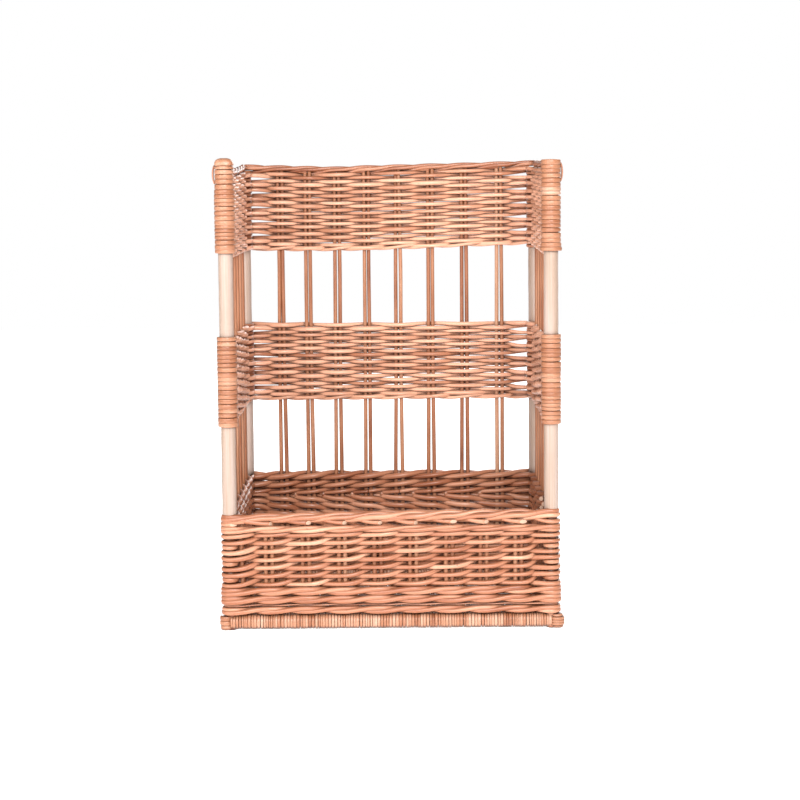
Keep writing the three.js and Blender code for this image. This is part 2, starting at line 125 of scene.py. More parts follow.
def add_node(
    tree: bpy.types.NodeTree,
    kind: str,
    inputs: dict | None = None,
    **settings: str | int,
) -> bpy.types.Node:
    """Adds a node to a tree.

    Args:
        tree: the material's or world's node tree.
        kind: the node's type name.
        inputs: by input name or number, a socket to link or a value to set.
        settings: the node's own properties.

    Returns:
        The new node.
    """
    node = tree.nodes.new(kind)
    for name, value in settings.items():
        setattr(node, name, value)
    for name, value in (inputs or {}).items():
        if isinstance(value, bpy.types.NodeSocket):
            tree.links.new(value, node.inputs[name])
        else:
            node.inputs[name].default_value = value
    return node


@dataclass(frozen=True)
class RodFinish:
    """Willow or peeled wood whose grain runs along each rod, whatever way the rod bends."""

    name: str
    dark: str
    deep: str
    middle: str
    pale: str
    cut: str
    roughness: float
    sheen_spread: float  # how far the roughness varies
    tone_share: float  # how much the rods differ from each other
    colour_places: tuple[float, ...] = (0.0, 0.3, 0.6, 1.0)  # where the four colours lie, from dark to pale
    mid_tone: float = 0.5  # where a middling rod lies among them
    streak_mm: Pair = (45.0, 0.9)  # a streak's length and width
    blotch_mm: Pair = (60.0, 9.0)  # a stain's length and width
    speck_mm: Pair = (3.2, 1.6)  # a leaf scar's length and width
    streak_share: float = 0.14  # how far streaks move the tone
    blotch_share: float = 0.16  # how far stains move it
    speck_share: float = 0.5  # how strong a leaf scar is
    noise_span: Pair = (0.3, 0.7)  # the noise of the darkest and the palest streak and stain
    speck_span: Pair = (0.7, 0.78)  # the noise where a leaf scar begins, and where it is full
    sheen_span: Pair = (0.25, 0.75)  # the noise of the smoothest and the dullest streak
    relief_mm: float = 0.16
    relief_strength: float = 0.6
    gap_mm: float = 6.0  # how near another rod must be for painted shade to darken the gap between them
    gap_span: Pair = (0.28, 0.85)  # how open a place is that counts as shut in, and one that counts as free
    gap_floor: float = 0.08  # the share of its colour that is left where the rod is shut in, the rest being painted shade
    gap_samples: int = 4
    gap_shade: str = "#40200f"  # the colour of that painted shade
    ior: float = 1.5

    def build(self) -> bpy.types.Material:
        """Makes the material.

        Returns:
            A material that reads the rod attributes of its mesh.
        """
        material = bpy.data.materials.new(self.name)
        material.use_nodes = True
        tree = material.node_tree
        space = add_node(tree, "ShaderNodeAttribute", attribute_name=ROD_SPACE).outputs["Vector"]
        tone = add_node(tree, "ShaderNodeAttribute", attribute_name=ROD_TONE).outputs["Fac"]
        cut = add_node(tree, "ShaderNodeAttribute", attribute_name=CUT_FACE).outputs["Fac"]
        # Noises drawn out along the rod, each with its size, its octaves and how strong the fine octaves are
        noises = []
        for (length, width), octaves, fine in (
            (self.streak_mm, 3.0, 0.6),
            (self.blotch_mm, 2.0, 0.5),
            (self.speck_mm, 1.0, 0.4),
        ):
            scale = (1 / length, 1 / width, 1 / width)
            spot = add_node(tree, "ShaderNodeMapping", {"Vector": space, "Scale": scale}).outputs[0]
            look = {"Vector": spot, "Scale": 1.0, "Detail": octaves, "Roughness": fine}
            noises.append(add_node(tree, "ShaderNodeTexNoise", look).outputs["Fac"])
        streak, blotch, speck = noises
        # Each rod has its own tone, and stains and streaks move it along the rod
        own = {0: tone, 1: self.tone_share, 2: self.mid_tone}
        shade = add_node(tree, "ShaderNodeMath", own, operation="MULTIPLY_ADD").outputs[0]
        low, high = self.noise_span
        for noise, share in ((blotch, self.blotch_share), (streak, self.streak_share)):
            move = add_node(tree, "ShaderNodeMapRange", {0: noise, 1: low, 2: high, 3: -share, 4: share})
            both = {0: shade, 1: move.outputs[0]}
            shade = add_node(tree, "ShaderNodeMath", both, operation="ADD").outputs[0]
        ramp = add_node(tree, "ShaderNodeValToRGB", {0: shade})
        stops = ramp.color_ramp.elements
        while len(stops) < len(self.colour_places):
            stops.new(1.0)
        colours = (self.dark, self.deep, self.middle, self.pale)
        for stop, place, colour in zip(stops, self.colour_places, colours):
            stop.position = place
            stop.color = linear(colour)
        # Leaf scars are small brown marks, few and far between, and the cut ends have a colour of their own
        low, high = self.speck_span
        scar = add_node(tree, "ShaderNodeMapRange", {0: speck, 1: low, 2: high, 3: 0.0, 4: self.speck_share})
        paint = ramp.outputs[0]
        for share, colour in ((scar.outputs[0], self.dark), (cut, self.cut)):
            layers = {0: share, 6: paint, 7: linear(colour)}
            paint = add_node(tree, "ShaderNodeMix", layers, data_type="RGBA").outputs[2]
        # Painted shade: in the gaps between the rods, where shade falls, the colour is darkened
        reach = {"Distance": self.gap_mm * MM}
        near = add_node(tree, "ShaderNodeAmbientOcclusion", reach, samples=self.gap_samples).outputs["AO"]
        low, high = self.gap_span
        unshaded = add_node(tree, "ShaderNodeMapRange", {0: near, 1: low, 2: high, 3: self.gap_floor, 4: 1.0})
        layers = {0: unshaded.outputs[0], 6: linear(self.gap_shade), 7: paint}
        paint = add_node(tree, "ShaderNodeMix", layers, data_type="RGBA").outputs[2]
        low, high = self.sheen_span
        smooth, dull = self.roughness - self.sheen_spread, self.roughness + self.sheen_spread
        rough = add_node(tree, "ShaderNodeMapRange", {0: streak, 1: low, 2: high, 3: smooth, 4: dull})
        relief = {"Strength": self.relief_strength, "Distance": self.relief_mm * MM, "Height": streak}
        bump = add_node(tree, "ShaderNodeBump", relief)
        shader = tree.nodes["Principled BSDF"]
        tree.links.new(paint, shader.inputs["Base Color"])
        tree.links.new(rough.outputs[0], shader.inputs["Roughness"])
        tree.links.new(bump.outputs[0], shader.inputs["Normal"])
        shader.inputs["IOR"].default_value = self.ior
        return material


FINISHES = {
    # Peeled and sanded round wood: cream with faint long streaks, almost matt
    Slot.POST: RodFinish(
        name="peeled_round_wood_sanded",
        dark="#8e715f", deep="#a38a78", middle="#b19c90", pale="#bcaba2", cut="#b7a188",
        roughness=0.55, sheen_spread=0.06, tone_share=0.12,
        streak_mm=(120.0, 1.6), blotch_mm=(160.0, 12.0), speck_share=0.25, relief_mm=0.1,
    ),
    # Boiled and stripped willow: tan to apricot rods with a soft gloss and brown leaf scars
    Slot.WEAVER: RodFinish(
        name="buff_willow_rods_woven",
        dark="#66321b", deep="#9e6042", middle="#ba8062", pale="#e6ad8f", cut="#cba88f",
        roughness=0.34, sheen_spread=0.08, tone_share=0.3,
    ),
    # Thicker buff willow of the stakes: browner, with a duller skin
    Slot.STAKE: RodFinish(
        name="buff_willow_stakes_dry",
        dark="#5c2c17", deep="#8f5536", middle="#a86f4e", pale="#bd8d6f", cut="#dcc3ad",
        # Less painted shade in the gaps, so that the stakes stay light between the strokes
        roughness=0.5, sheen_spread=0.08, tone_share=0.28, gap_floor=0.6,
    ),
    # Split and shaved willow skein: flat glossy bands, paler than the stakes
    Slot.SKEIN: RodFinish(
        name="split_willow_skein_wound",
        dark="#66341e", deep="#975f41", middle="#b07a5c", pale="#c79e86", cut="#dcc3ad",
        roughness=0.36, sheen_spread=0.07, tone_share=0.3, streak_mm=(40.0, 0.7),
    ),
    # Buff willow of the floor: worn and a little dusty, so less glossy
    Slot.FLOOR: RodFinish(
        name="buff_willow_floor_worn",
        dark="#66361c", deep="#965f3c", middle="#ae7d59", pale="#c09a7b", cut="#cfb293",
        roughness=0.58, sheen_spread=0.08, tone_share=0.28,
    ),
}


def normalised(vectors: np.ndarray) -> np.ndarray:
    """Returns the vectors, one per row, at unit length."""
    return vectors / np.linalg.norm(vectors, axis=1, keepdims=True)


def scatter(rng: np.random.Generator, reach: float, count: int | None = None) -> Values:
    """Returns one or more random values, from minus the reach to the reach."""
    return rng.uniform(-reach, reach, count)


def drift(knots: np.ndarray, count: int) -> np.ndarray:
    """Returns values for so many stations, which drift from knot to knot."""
    return np.interp(np.linspace(0, 1, count), np.linspace(0, 1, len(knots)), knots)


def at_stations(values: np.ndarray, steps: int) -> np.ndarray:
    """Spreads values at a rod's places over the stations of its path, so many steps between two places."""
    count = len(values)
    return np.interp(np.arange((count - 1) * steps + 1) / steps, np.arange(count), values)


def box_mm(node: str) -> tuple[np.ndarray, np.ndarray]:
    """Returns a solid's lowest and highest corner in millimetres."""
    low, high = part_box(node)
    return np.array(low) / MM, np.array(high) / MM


def heights(node: str) -> Pair:
    """Returns the lowest and highest level of a solid in millimetres."""
    low, high = box_mm(node)
    return float(low[2]), float(high[2])


@dataclass
class RodBundle:
    """Rods that become one mesh. Each is a rounded section carried along a path, closed by flat cut ends."""

    rng: np.random.Generator  # the seeded scatter
    sides: int = 8
    squareness: float = 2.0  # 2 for an ellipse, and more for a flatter strip
    bevel_mm: float = 0.5
    bevel_share: float = 0.78  # the section's share that is left at the very end
    bevel_most: float = 0.4  # the bevel's greatest share of the path's first or last step
    points: list[np.ndarray] = field(default_factory=list)
    spaces: list[np.ndarray] = field(default_factory=list)
    tones: list[np.ndarray] = field(default_factory=list)
    quads: list[np.ndarray] = field(default_factory=list)
    caps: list[np.ndarray] = field(default_factory=list)
    count: int = 0

    def add(
        self,
        path: np.ndarray,
        outward: np.ndarray,
        half_out: Values,
        tone: Values,
        half_side: Values | None = None,
        slant: float = 0.0,
    ) -> None:
        """Adds one rod.

        With T the path's direction, A the outward hint made square to T, and B = T x A, the surface is
        P + half_out c(v) A + half_side s(v) B for v from 0 to a full turn, where c and s are the cosine and
        the sine, raised to the power of 2 / squareness with their signs kept. A slanted end is drawn out
        along T by slant (1 - c(v)) half_out.

        Args:
            path: the rod's middle, one row per station.
            outward: a hint for the section's first axis, one row for all stations or one each.
            half_out: half the section's size along the hint.
            tone: the rod's tone, for all stations or one each.
            half_side: half the section's size across the hint, where it isn't the same as along it.
            slant: the slope of the cut at the rod's last end, which then faces outward.
        """
        half_side = half_out if half_side is None else half_side
        offset = self.rng.uniform(0, GRAIN_MM)
        last = len(path) - 1
        step = np.linalg.norm(path[[1, -1]] - path[[0, -2]], axis=1)
        bevel = np.minimum(self.bevel_mm / step, self.bevel_most)
        place = np.concatenate([[0.0, bevel[0]], np.arange(1.0, last), [last - bevel[1], last]])
        stations = np.arange(last + 1)

        def spread(values: Values) -> np.ndarray:
            """Returns one value per station of the bevelled path."""
            return np.interp(place, stations, np.broadcast_to(values, last + 1))

        courses = (path, np.broadcast_to(outward, path.shape), normalised(np.gradient(path, axis=0)))
        middle, hint, along = (np.stack([spread(row) for row in course.T], axis=1) for course in courses)
        along = normalised(along)
        first = normalised(hint - np.sum(hint * along, axis=1, keepdims=True) * along)
        second = np.cross(along, first)
        ends = np.ones(len(place))
        ends[[0, -1]] = self.bevel_share
        angle = 2 * np.pi * np.arange(self.sides) / self.sides
        wave = np.stack([np.cos(angle), np.sin(angle)])
        wave = np.sign(wave) * np.abs(wave) ** (2 / self.squareness)
        out = (spread(half_out) * ends)[:, None] * wave[0]
        side = (spread(half_side) * ends)[:, None] * wave[1]
        surface = middle[:, None] + out[..., None] * first[:, None] + side[..., None] * second[:, None]
        drawn = slant * (spread(half_out)[-2:, None] - out[-2:])
        surface[-2:] += drawn[..., None] * along[-2:, None]
        length = np.concatenate([[0.0], np.cumsum(np.linalg.norm(np.diff(middle, axis=0), axis=1))])
        lengthwise = np.broadcast_to((length + offset)[:, None], out.shape)
        space = np.stack([lengthwise, out + offset, side], axis=2)
        ring = np.arange(self.sides)
        near = np.arange(len(place) - 1)[:, None] * self.sides + self.count
        far = near + self.sides
        turn = np.roll(ring, -1)
        quads = np.stack([near + ring, near + turn, far + turn, far + ring], axis=2)
        self.points.append(surface.reshape(-1, 3))
        self.spaces.append(space.reshape(-1, 3))
        self.tones.append(np.repeat(spread(tone), self.sides))
        self.quads.append(quads.reshape(-1, 4))
        self.caps.append(self.count + ring[::-1])
        self.caps.append(self.count + (len(place) - 1) * self.sides + ring)
        self.count += len(place) * self.sides

    def to_object(self, name: str, material: bpy.types.Material) -> bpy.types.Object:
        """Makes a mesh object of all the rods, at the origin and in metres.

        Args:
            name: the object's name.
            material: its finish.

        Returns:
            The new object, linked to the scene.
        """
        quads = np.concatenate(self.quads)
        caps = np.array(self.caps)
        mesh = bpy.data.meshes.new(name)
        mesh.from_pydata((np.concatenate(self.points) * MM).tolist(), [], quads.tolist() + caps.tolist())
        is_cap = np.concatenate([np.zeros(len(quads)), np.ones(len(caps))])
        mesh.polygons.foreach_set("use_smooth", is_cap == 0)
        for label, kind, domain, key, values in (
            (ROD_SPACE, "FLOAT_VECTOR", "POINT", "vector", np.concatenate(self.spaces)),
            (ROD_TONE, "FLOAT", "POINT", "value", np.concatenate(self.tones)),
            (CUT_FACE, "FLOAT", "FACE", "value", is_cap),
        ):
            attribute = mesh.attributes.new(label, kind, domain)
            attribute.data.foreach_set(key, values.astype(np.float32).ravel())
        mesh.materials.append(material)
        mesh.update()
        made = bpy.data.objects.new(name, mesh)
        bpy.context.scene.collection.objects.link(made)
        return made


@dataclass
class Plan:
    """The basket's plan: posts and pairs of stakes in order round it, to the right as seen from outside.

    A post is two places, one where a rod arrives and one where it leaves, with the corner between them.
    """

    long_pairs: int = 8
    short_pairs: int = 6
    front_ends_mm: Pair = (46.0, 38.5)  # from each post to the nearest pair of the front
    front_bow_mm: float = 2.4  # how far the middle pairs of the front stand to the right of even places
    rear_ends_mm: Pair = (47.5, 47.5)  # the same for the back, as seen from behind
    rear_bow_mm: float = 10.0
    waist_mm: float = 6.8  # a post's radius inside the low wall, where it is cut down and lined with skein
    lining_mm: float = 1.3
    scatter_mm: float = 0.5
    seed: int = 11

    def __post_init__(self) -> None:
        """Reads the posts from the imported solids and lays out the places."""
        low, high = box_mm("post_front_right")
        self.post_radius = (high[0] - low[0]) / 2
        self.post_height = high[2]
        self.corner = np.abs(low[:2] + high[:2]) / 2  # the posts' distance from the middle, both ways
        right, back = self.corner
        even = (2 * back / (self.short_pairs + 1),) * 2
        walls = {
            Side.FRONT: ((-right, -back), (1, 0), self.long_pairs, self.front_ends_mm, self.front_bow_mm),
            Side.RIGHT: ((right, -back), (0, 1), self.short_pairs, even, 0.0),
            Side.REAR: ((right, back), (-1, 0), self.long_pairs, self.rear_ends_mm, self.rear_bow_mm),
            Side.LEFT: ((-right, back), (0, -1), self.short_pairs, even, 0.0),
        }
        rng = np.random.default_rng(self.seed)
        self.stakes = 0  # on one lap, with a post counted as one
        self.first_stake, self.pairs = {}, {}
        columns = []
        for wall, (start, heading, pairs, (first, last), bow) in walls.items():
            self.first_stake[wall] = self.stakes
            self.pairs[wall] = pairs
            span = 2 * (right if heading[0] else back)
            share = np.linspace(0, 1, pairs)
            along = first + (span - first - last) * share + bow * np.sin(np.pi * share)
            along += scatter(rng, self.scatter_mm, pairs)
            along = np.concatenate([[0.0], along, [span]])
            place = np.array(start) + along[:, None] * np.array(heading)
            run = np.tile(np.array(heading, float), (pairs + 2, 1))
            # 1 where a rod leaves a post, and -1 where it arrives at one
            leaves = np.concatenate([[1.0], np.zeros(pairs), [-1.0]])
            columns.append((place, run, self.stakes + np.arange(pairs + 2), leaves))
            self.stakes += pairs + 1
        self.place, self.run, self.stake, self.leaves = (np.concatenate(column) for column in zip(*columns))
        self.is_post = self.leaves != 0
        self.out = np.stack([self.run[:, 1], -self.run[:, 0]], axis=1)
        self.diagonal = normalised(self.out - self.leaves[:, None] * self.run)
        self.back_and_sides = (self.first_stake[Side.RIGHT], self.stakes)

    def route(self, first: int, last: int, open_ends: bool) -> tuple[np.ndarray, np.ndarray]:
        """Lists the places that a rod passes.

        Args:
            first: the stake where it starts. Numbers run on past one lap.
            last: the stake where it ends.
            open_ends: whether it starts and ends on the near side of a post, without going round it.

        Returns:
            The numbers of the places, and of the stakes at them.
        """
        laps = np.arange(first // self.stakes - 1, last // self.stakes + 2)
        numbers = np.tile(np.arange(len(self.stake)), len(laps))
        stakes = (self.stake[None] + self.stakes * laps[:, None]).ravel()
        keep = (stakes >= first) & (stakes <= last)
        numbers, stakes = numbers[keep], stakes[keep]
        if open_ends and self.leaves[numbers[0]] < 0:
            numbers, stakes = numbers[1:], stakes[1:]
        if open_ends and self.leaves[numbers[-1]] > 0:
            numbers, stakes = numbers[:-1], stakes[:-1]
        return numbers, stakes

    def thread(
        self,
        numbers: np.ndarray,
        out: np.ndarray,
        level: np.ndarray,
        steps: int,
        arch: Values = 0.0,
        hold: float = 1.0,
        dive: float = 1.0,
        inside_cut: float = 4.0,
        tight: float = 0.0,
    ) -> tuple[np.ndarray, np.ndarray]:
        """Leads a rod through its places.

        Between two places the distance out from the wall changes as (1 - cos(pi f)) / 2 for f from 0 to 1,
        with f raised to the power of dive as the rod goes in. The level changes in the same way, with f
        raised to the power of hold as the rod goes in, and 1 - f as it comes out, and is then raised by
        arch sin(pi f), so that two rods can pass. Outside a post the rod follows an arc about the post's
        axis, and inside one it cuts the corner on an arc of its own, as wide as the cut.

        Args:
            numbers: the places, in order.
            out: how far out from the wall the rod is at each.
            level: the rod's height at each.
            steps: stations between two places.
            arch: how far the rod rises between two places, for all of them or one each.
            hold: more than 1 to keep the level in front of the wall, and less to keep it behind.
            dive: more than 1 to stay in front for longer before going in.
            inside_cut: how far before and after a post's inside the rod turns.
            tight: how far out from a post's axis a rod still cuts the corner.

        Returns:
            The rod's path and its outward directions, one row per station.
        """
        place, normal, run = self.place[numbers], self.out[numbers], self.run[numbers]
        inside = (self.is_post[numbers] & (out < tight))[:, None]
        cut = self.diagonal[numbers] * out[:, None] + run * (self.leaves[numbers] * inside_cut)[:, None]
        offset = np.where(inside, cut, normal * out[:, None])
        corner = (self.leaves[numbers][:-1] < 0)[:, None, None]
        arc = corner & (out[:-1] >= tight)[:, None, None]
        f = (np.arange(steps) / steps)[None, :, None]
        going_in = (out[:-1] > out[1:])[:, None, None]
        ease = (1 - np.cos(np.pi * np.where(going_in, f**dive, f))) / 2
        swing = [np.cos(np.pi / 2 * f), np.sin(np.pi / 2 * f)]
        base = place[:-1, None] + (place[1:] - place[:-1])[:, None] * f
        eased = offset[:-1, None] + (offset[1:] - offset[:-1])[:, None] * ease
        swung = offset[:-1, None] * swing[0] + offset[1:, None] * swing[1]
        turned = normal[:-1, None] * swing[0] + normal[1:, None] * swing[1]
        bent = offset[:-1, None] + inside_cut * (turned - normal[:-1, None])
        flat = base + np.where(arc, swung, np.where(corner, bent, eased))
        facing = np.where(corner, turned, np.broadcast_to(normal[:-1, None], flat.shape))
        climb = (1 - np.cos(np.pi * np.where(going_in, f**hold, 1 - (1 - f) ** hold))) / 2
        change = (level[1:] - level[:-1])[:, None, None]
        height = level[:-1, None, None] + change * np.where(corner, f, climb)
        rise = np.broadcast_to(arch, len(level) - 1)[:, None, None] * np.sin(np.pi * f)
        height = height + np.where(corner, 0.0, rise)
        path = np.concatenate([flat, height], axis=2).reshape(-1, 3)
        end = np.concatenate([place[-1] + offset[-1], level[-1:]])
        outward = np.concatenate([facing, np.zeros_like(height)], axis=2).reshape(-1, 3)
        return np.vstack([path, end]), np.vstack([outward, [*normal[-1], 0.0]])


@dataclass(frozen=True)
class WovenZone:
    """A zone of weave between two edges, which may rise and fall from stake to stake, in millimetres."""

    bottom: float
    top: float
    marks: tuple[float, ...] = (0.0,)  # stakes where the edges' rise is given
    bottom_rise: tuple[float, ...] = (0.0,)
    top_rise: tuple[float, ...] = (0.0,)

    def level(self, stakes: np.ndarray, share: float) -> np.ndarray:
        """Gives the height of a row at given stakes.

        Args:
            stakes: the stakes' numbers.
            share: the row's place in the zone, from 0 at the bottom to 1 at the top.

        Returns:
            One height for each stake.
        """
        low = self.bottom + np.interp(stakes, self.marks, self.bottom_rise)
        high = self.top + np.interp(stakes, self.marks, self.top_rise)
        return low + (high - low) * share


@dataclass
class Workshop:
    """What all sub-assemblies share: the plan, the finishes, the rim's line and how to hand over a piece."""

    plan: Plan
    rim_stakes: tuple[float, ...] = (9, 16, 18, 20, 22.3, 25, 28, 32)  # where the next two lines are given
    rim_rise_mm: tuple[float, ...] = (-1.0, 1.3, -0.8, -2.6, -4.6, -1.2, -6.0, -9.0)
    band_rise_mm: tuple[float, ...] = (0.0, 5.0, 3.0, 0.0, -1.5, 0.0, 0.0, 0.0)  # at the band's lower edge
    rim_tuck_mm: float = 2.6  # how far the top band is pushed up into its border

    def __post_init__(self) -> None:
        """Builds the finishes."""
        self.materials = {slot: finish.build() for slot, finish in FINISHES.items()}

    def band_zone(self, band: Level) -> WovenZone:
        """Gives a band's zone. The top one has settled unevenly, and the one at mid height is level.

        Args:
            band: which of the two bands.

        Returns:
            The zone between the band's edges.
        """
        low, high = heights(f"{band.value}_band_rear")
        if band is Level.MID:
            return WovenZone(low, high)
        return WovenZone(low, high + self.rim_tuck_mm, self.rim_stakes, self.band_rise_mm, self.rim_rise_mm)

    def hand_over(self, bundle: RodBundle, name: str, slot: Slot, nodes: list[str]) -> None:
        """Makes a bundle a piece that rides on the basket and stands for its solids.

        Args:
            bundle: the rods.
            name: the piece's name.
            slot: the finish it takes.
            nodes: the solids that it replaces.
        """
        piece = bundle.to_object(name, self.materials[slot])
        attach(piece, "root")
        if nodes:
            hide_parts(*nodes)
        LOG.info("%s: %d faces", name, len(piece.data.polygons))


@dataclass
class SubAssembly:
    """A part of the basket that is made of one or more pieces, with a seeded scatter of its own."""

    shop: Workshop
    seed: int = 0

    def __post_init__(self) -> None:
        """Starts the scatter."""
        self.plan = self.shop.plan
        self.rng = np.random.default_rng(self.seed)


@dataclass
class CornerPosts(SubAssembly):
    """The four peeled posts, cut down inside the low wall."""

    sides: int = 36
    station_mm: float = 14.0
    edge_mm: float = 2.0  # how far down the top edge is rounded
    edge_share: float = 0.9  # how far in it is rounded, as a share of that
    cover_mm: float = 5.0  # how far the low wall reaches up past the waist
    shoulder_mm: float = 0.2  # the height of the step at the waist
    wander_mm: float = 0.18
    seed: int = 21

    def build(self) -> None:
        """Makes the posts, each with its waist where the low wall hides it."""
        for depth, wall in ((Side.FRONT, "stakes_and_border_front"), (Side.REAR, "top_wale_rear")):
            for hand in HANDS:
                self.build_post(f"post_{depth.value}_{hand.value}", heights(wall)[1] - self.cover_mm)

    def build_post(self, node: str, waist: float) -> None:
        """Makes one post: a round section carried straight up, its radius wandering a little.

        Within the edge the radius is less by share edge (1 - sqrt(1 - s^2)), with s from 0 to 1 at the top.

        Args:
            node: the post's solid, whose name the piece takes.
            waist: the level up to which it is cut down.
        """
        plan, rng = self.plan, self.rng
        low, high = box_mm(node)
        level = np.arange(low[2], high[2], self.station_mm)
        step = [waist - self.shoulder_mm / 2, waist + self.shoulder_mm / 2]
        level = np.concatenate([level, step, [high[2] - self.edge_mm, high[2] - self.edge_mm / 3, high[2]]])
        level = np.unique(level)
        radius = plan.post_radius + scatter(rng, self.wander_mm, len(level))
        radius = np.where(level < waist, plan.waist_mm - plan.lining_mm, radius)
        over = np.clip((level - high[2] + self.edge_mm) / self.edge_mm, 0, 1)
        radius = radius - self.edge_mm * (1 - np.sqrt(1 - over**2)) * self.edge_share
        path = np.tile((low + high) / 2, (len(level), 1))
        path[:, 2] = level
        bundle = RodBundle(rng, sides=self.sides, bevel_mm=0.2, bevel_share=0.96)
        bundle.add(path, FRONT, radius, rng.uniform(-1, 1))
        self.shop.hand_over(bundle, node, Slot.POST, [node])


@dataclass
class Winding:
    """A skein wound round a straight core, each turn a little wider or prouder than the next."""

    turns: int
    steps: int = 16
    thickness_mm: float = 2.2
    width_scatter: float = 0.16
    proud_mm: float = 0.35
    proud_span: Pair = (-0.3, 1.0)  # how proud the flattest and the proudest turn are, as shares of that
    tone: float = 0.0
    tone_scatter: float = 0.5
    overlap: float = 1.03
    step_share: float = 0.4  # the share of a turn, behind, in which the strip moves on to the next
    swell_at: np.ndarray | tuple[float, ...] = (0.0, 1.0)  # places from start to end
    swell_mm: np.ndarray | tuple[float, ...] = (0.0, 0.0)  # how much wider the winding is there
    draw: Pair = (1.0, 1.0)  # the radius at the first and the last turn, as a share

    def add_to(self, bundle: RodBundle, start: np.ndarray, end: np.ndarray, radius: float) -> None:
        """Adds the winding to a bundle, as one unbroken strip.

        The strip's middle is start + axis s(v) + r(v) (cos(v) U + sin(v) W), where v runs through all the
        turns, s grows by each turn's own width, all of it behind, and r is the core's radius, half the skein
        and how proud the turn is. It starts behind, and the first and the last half turn lie level.

        Args:
            bundle: the bundle to add to.
            start: where the winding begins on the core's axis.
            end: where it ends.
            radius: the core's radius.
        """
        rng = bundle.rng
        axis = normalised((end - start)[None])[0]
        across = -FRONT if abs(axis[1]) < 0.5 else -UP
        other = np.cross(axis, across)
        marks = np.arange(self.turns + 1)
        width = 1 + scatter(rng, self.width_scatter, self.turns + 1)
        turn = np.arange(self.turns * self.steps + 1) / self.steps
        behind = np.clip(turn - np.round(turn), -self.step_share / 2, self.step_share / 2)
        moved = np.round(turn) + behind / self.step_share
        edges = np.concatenate([[0.0], np.cumsum(width[:-1])])
        length = np.linalg.norm(end - start)
        half = width / edges[-1] * length / 2
        place = np.interp(moved, marks, edges / edges[-1] * length)
        place = np.clip(place, half[0], length - half[-2])
        proud = np.interp(turn, marks, rng.uniform(*self.proud_span, self.turns + 1) * self.proud_mm)
        half_width = np.interp(turn, marks, half) * self.overlap
        drawn = np.interp(turn, [0, 1, self.turns - 1, self.turns], [self.draw[0], 1, 1, self.draw[1]])
        swell = np.interp(place / length, self.swell_at, self.swell_mm)
        middle = (radius + self.thickness_mm / 2 + proud + swell) * drawn
        angle = 2 * np.pi * turn
        radial = np.cos(angle)[:, None] * across + np.sin(angle)[:, None] * other
        path = start + place[:, None] * axis + middle[:, None] * radial
        tones = np.interp(turn, marks, rng.normal(self.tone, self.tone_scatter, self.turns + 1))
        bundle.add(path, radial, self.thickness_mm / 2, tones, half_width)


@dataclass
class BaseRails(SubAssembly):
    """The four base rails, each a rod wound with skein, and the wound knobs where they meet the posts."""

    turn_mm: float = 3.3
    end_reach_mm: float = 9.0
    stations: int = 24
    snug_mm: float = 0.3  # how far a rail's core reaches into its skein
    core_tone: float = -1.0
    knob_turns: tuple[int, int] = (3, 5)  # left and right, as in the next four lines
    knob_radius_mm: Pair = (5.0, 5.7)  # under the skein
    knob_shift_mm: Pair = (5.8, 6.8)  # outward from the posts
    knob_draw: tuple[Pair, Pair] = ((0.86, 0.95), (0.8, 0.8))  # the radius at its ends, as a share
    knob_round_mm: Pair = (0.0, 2.8)  # how much slimmer it is at its ends than at its middle
    knob_full: float = 0.2  # how much fuller its middle is, as a share of that
    knob_height_mm: Pair = (0.6, 17.0)
    knob_depth_share: float = 0.3  # its shift to the front or the back, as a share of the one outward
    knob_stations: int = 9
    knob_snug_mm: float = 0.2
    knob_core_tone: float = -0.8
    seed: int = 31

    def build(self) -> None:
        """Makes each rail's core and winding, then the knobs."""
        plan, rng = self.plan, self.rng
        for side in Side:
            nodes = [f"rail_{side.value}"]
            if side is Side.FRONT:
                nodes.append("rail_front_winding")
            low, high = box_mm(nodes[-1])
            axis = 0 if side in (Side.FRONT, Side.REAR) else 1
            start, end = (low + high) / 2, (low + high) / 2
            start[axis] = -plan.corner[axis] + plan.post_radius - self.end_reach_mm
            end[axis] = -start[axis]
            turns = round((end - start)[axis] / self.turn_mm)
            winding = Winding(
                turns, proud_mm=0.5, width_scatter=0.36, tone_scatter=0.8, tone=0.35, overlap=1.0
            )
            core = (high[2] - low[2]) / 2 - winding.thickness_mm
            bundle = RodBundle(rng, sides=10, squareness=2.4)
            rod = np.linspace(start, end, self.stations)
            bundle.add(rod, UP, core + self.snug_mm, self.core_tone)
            winding.add_to(bundle, start, end, core)
            self.shop.hand_over(bundle, f"rail_{side.value}_wound", Slot.SKEIN, nodes)
        self.build_knobs()

    def build_knobs(self) -> None:
        """Winds the foot of each post.

        A knob is wider than its radius by round (full - (2 s - 1)^4), with s from 0 at its foot to 1 on top.
        """
        bundle = RodBundle(self.rng, sides=10, squareness=2.6)
        share = np.linspace(0, 1, self.knob_stations)
        for hand, x in enumerate(HANDS.values()):
            radius, shift = self.knob_radius_mm[hand], self.knob_shift_mm[hand]
            swell = self.knob_round_mm[hand] * (self.knob_full - (2 * share - 1) ** 4)
            winding = Winding(
                self.knob_turns[hand], steps=24, thickness_mm=2.4, proud_mm=0.4,
                swell_at=share, swell_mm=swell, draw=self.knob_draw[hand],
            )
            for y in (-1, 1):
                foot = np.array([x, y, 0]) * np.append(self.plan.corner, 0)
                foot += np.array([x, y * self.knob_depth_share, 0]) * shift
                low, high = (foot + np.array([0, 0, level]) for level in self.knob_height_mm)
                winding.add_to(bundle, low, high, radius)
                core = np.linspace(low, high, self.knob_stations)
                bundle.add(core, FRONT, radius + swell + self.knob_snug_mm, self.knob_core_tone)
        self.shop.hand_over(bundle, "foot_knobs", Slot.SKEIN, [])


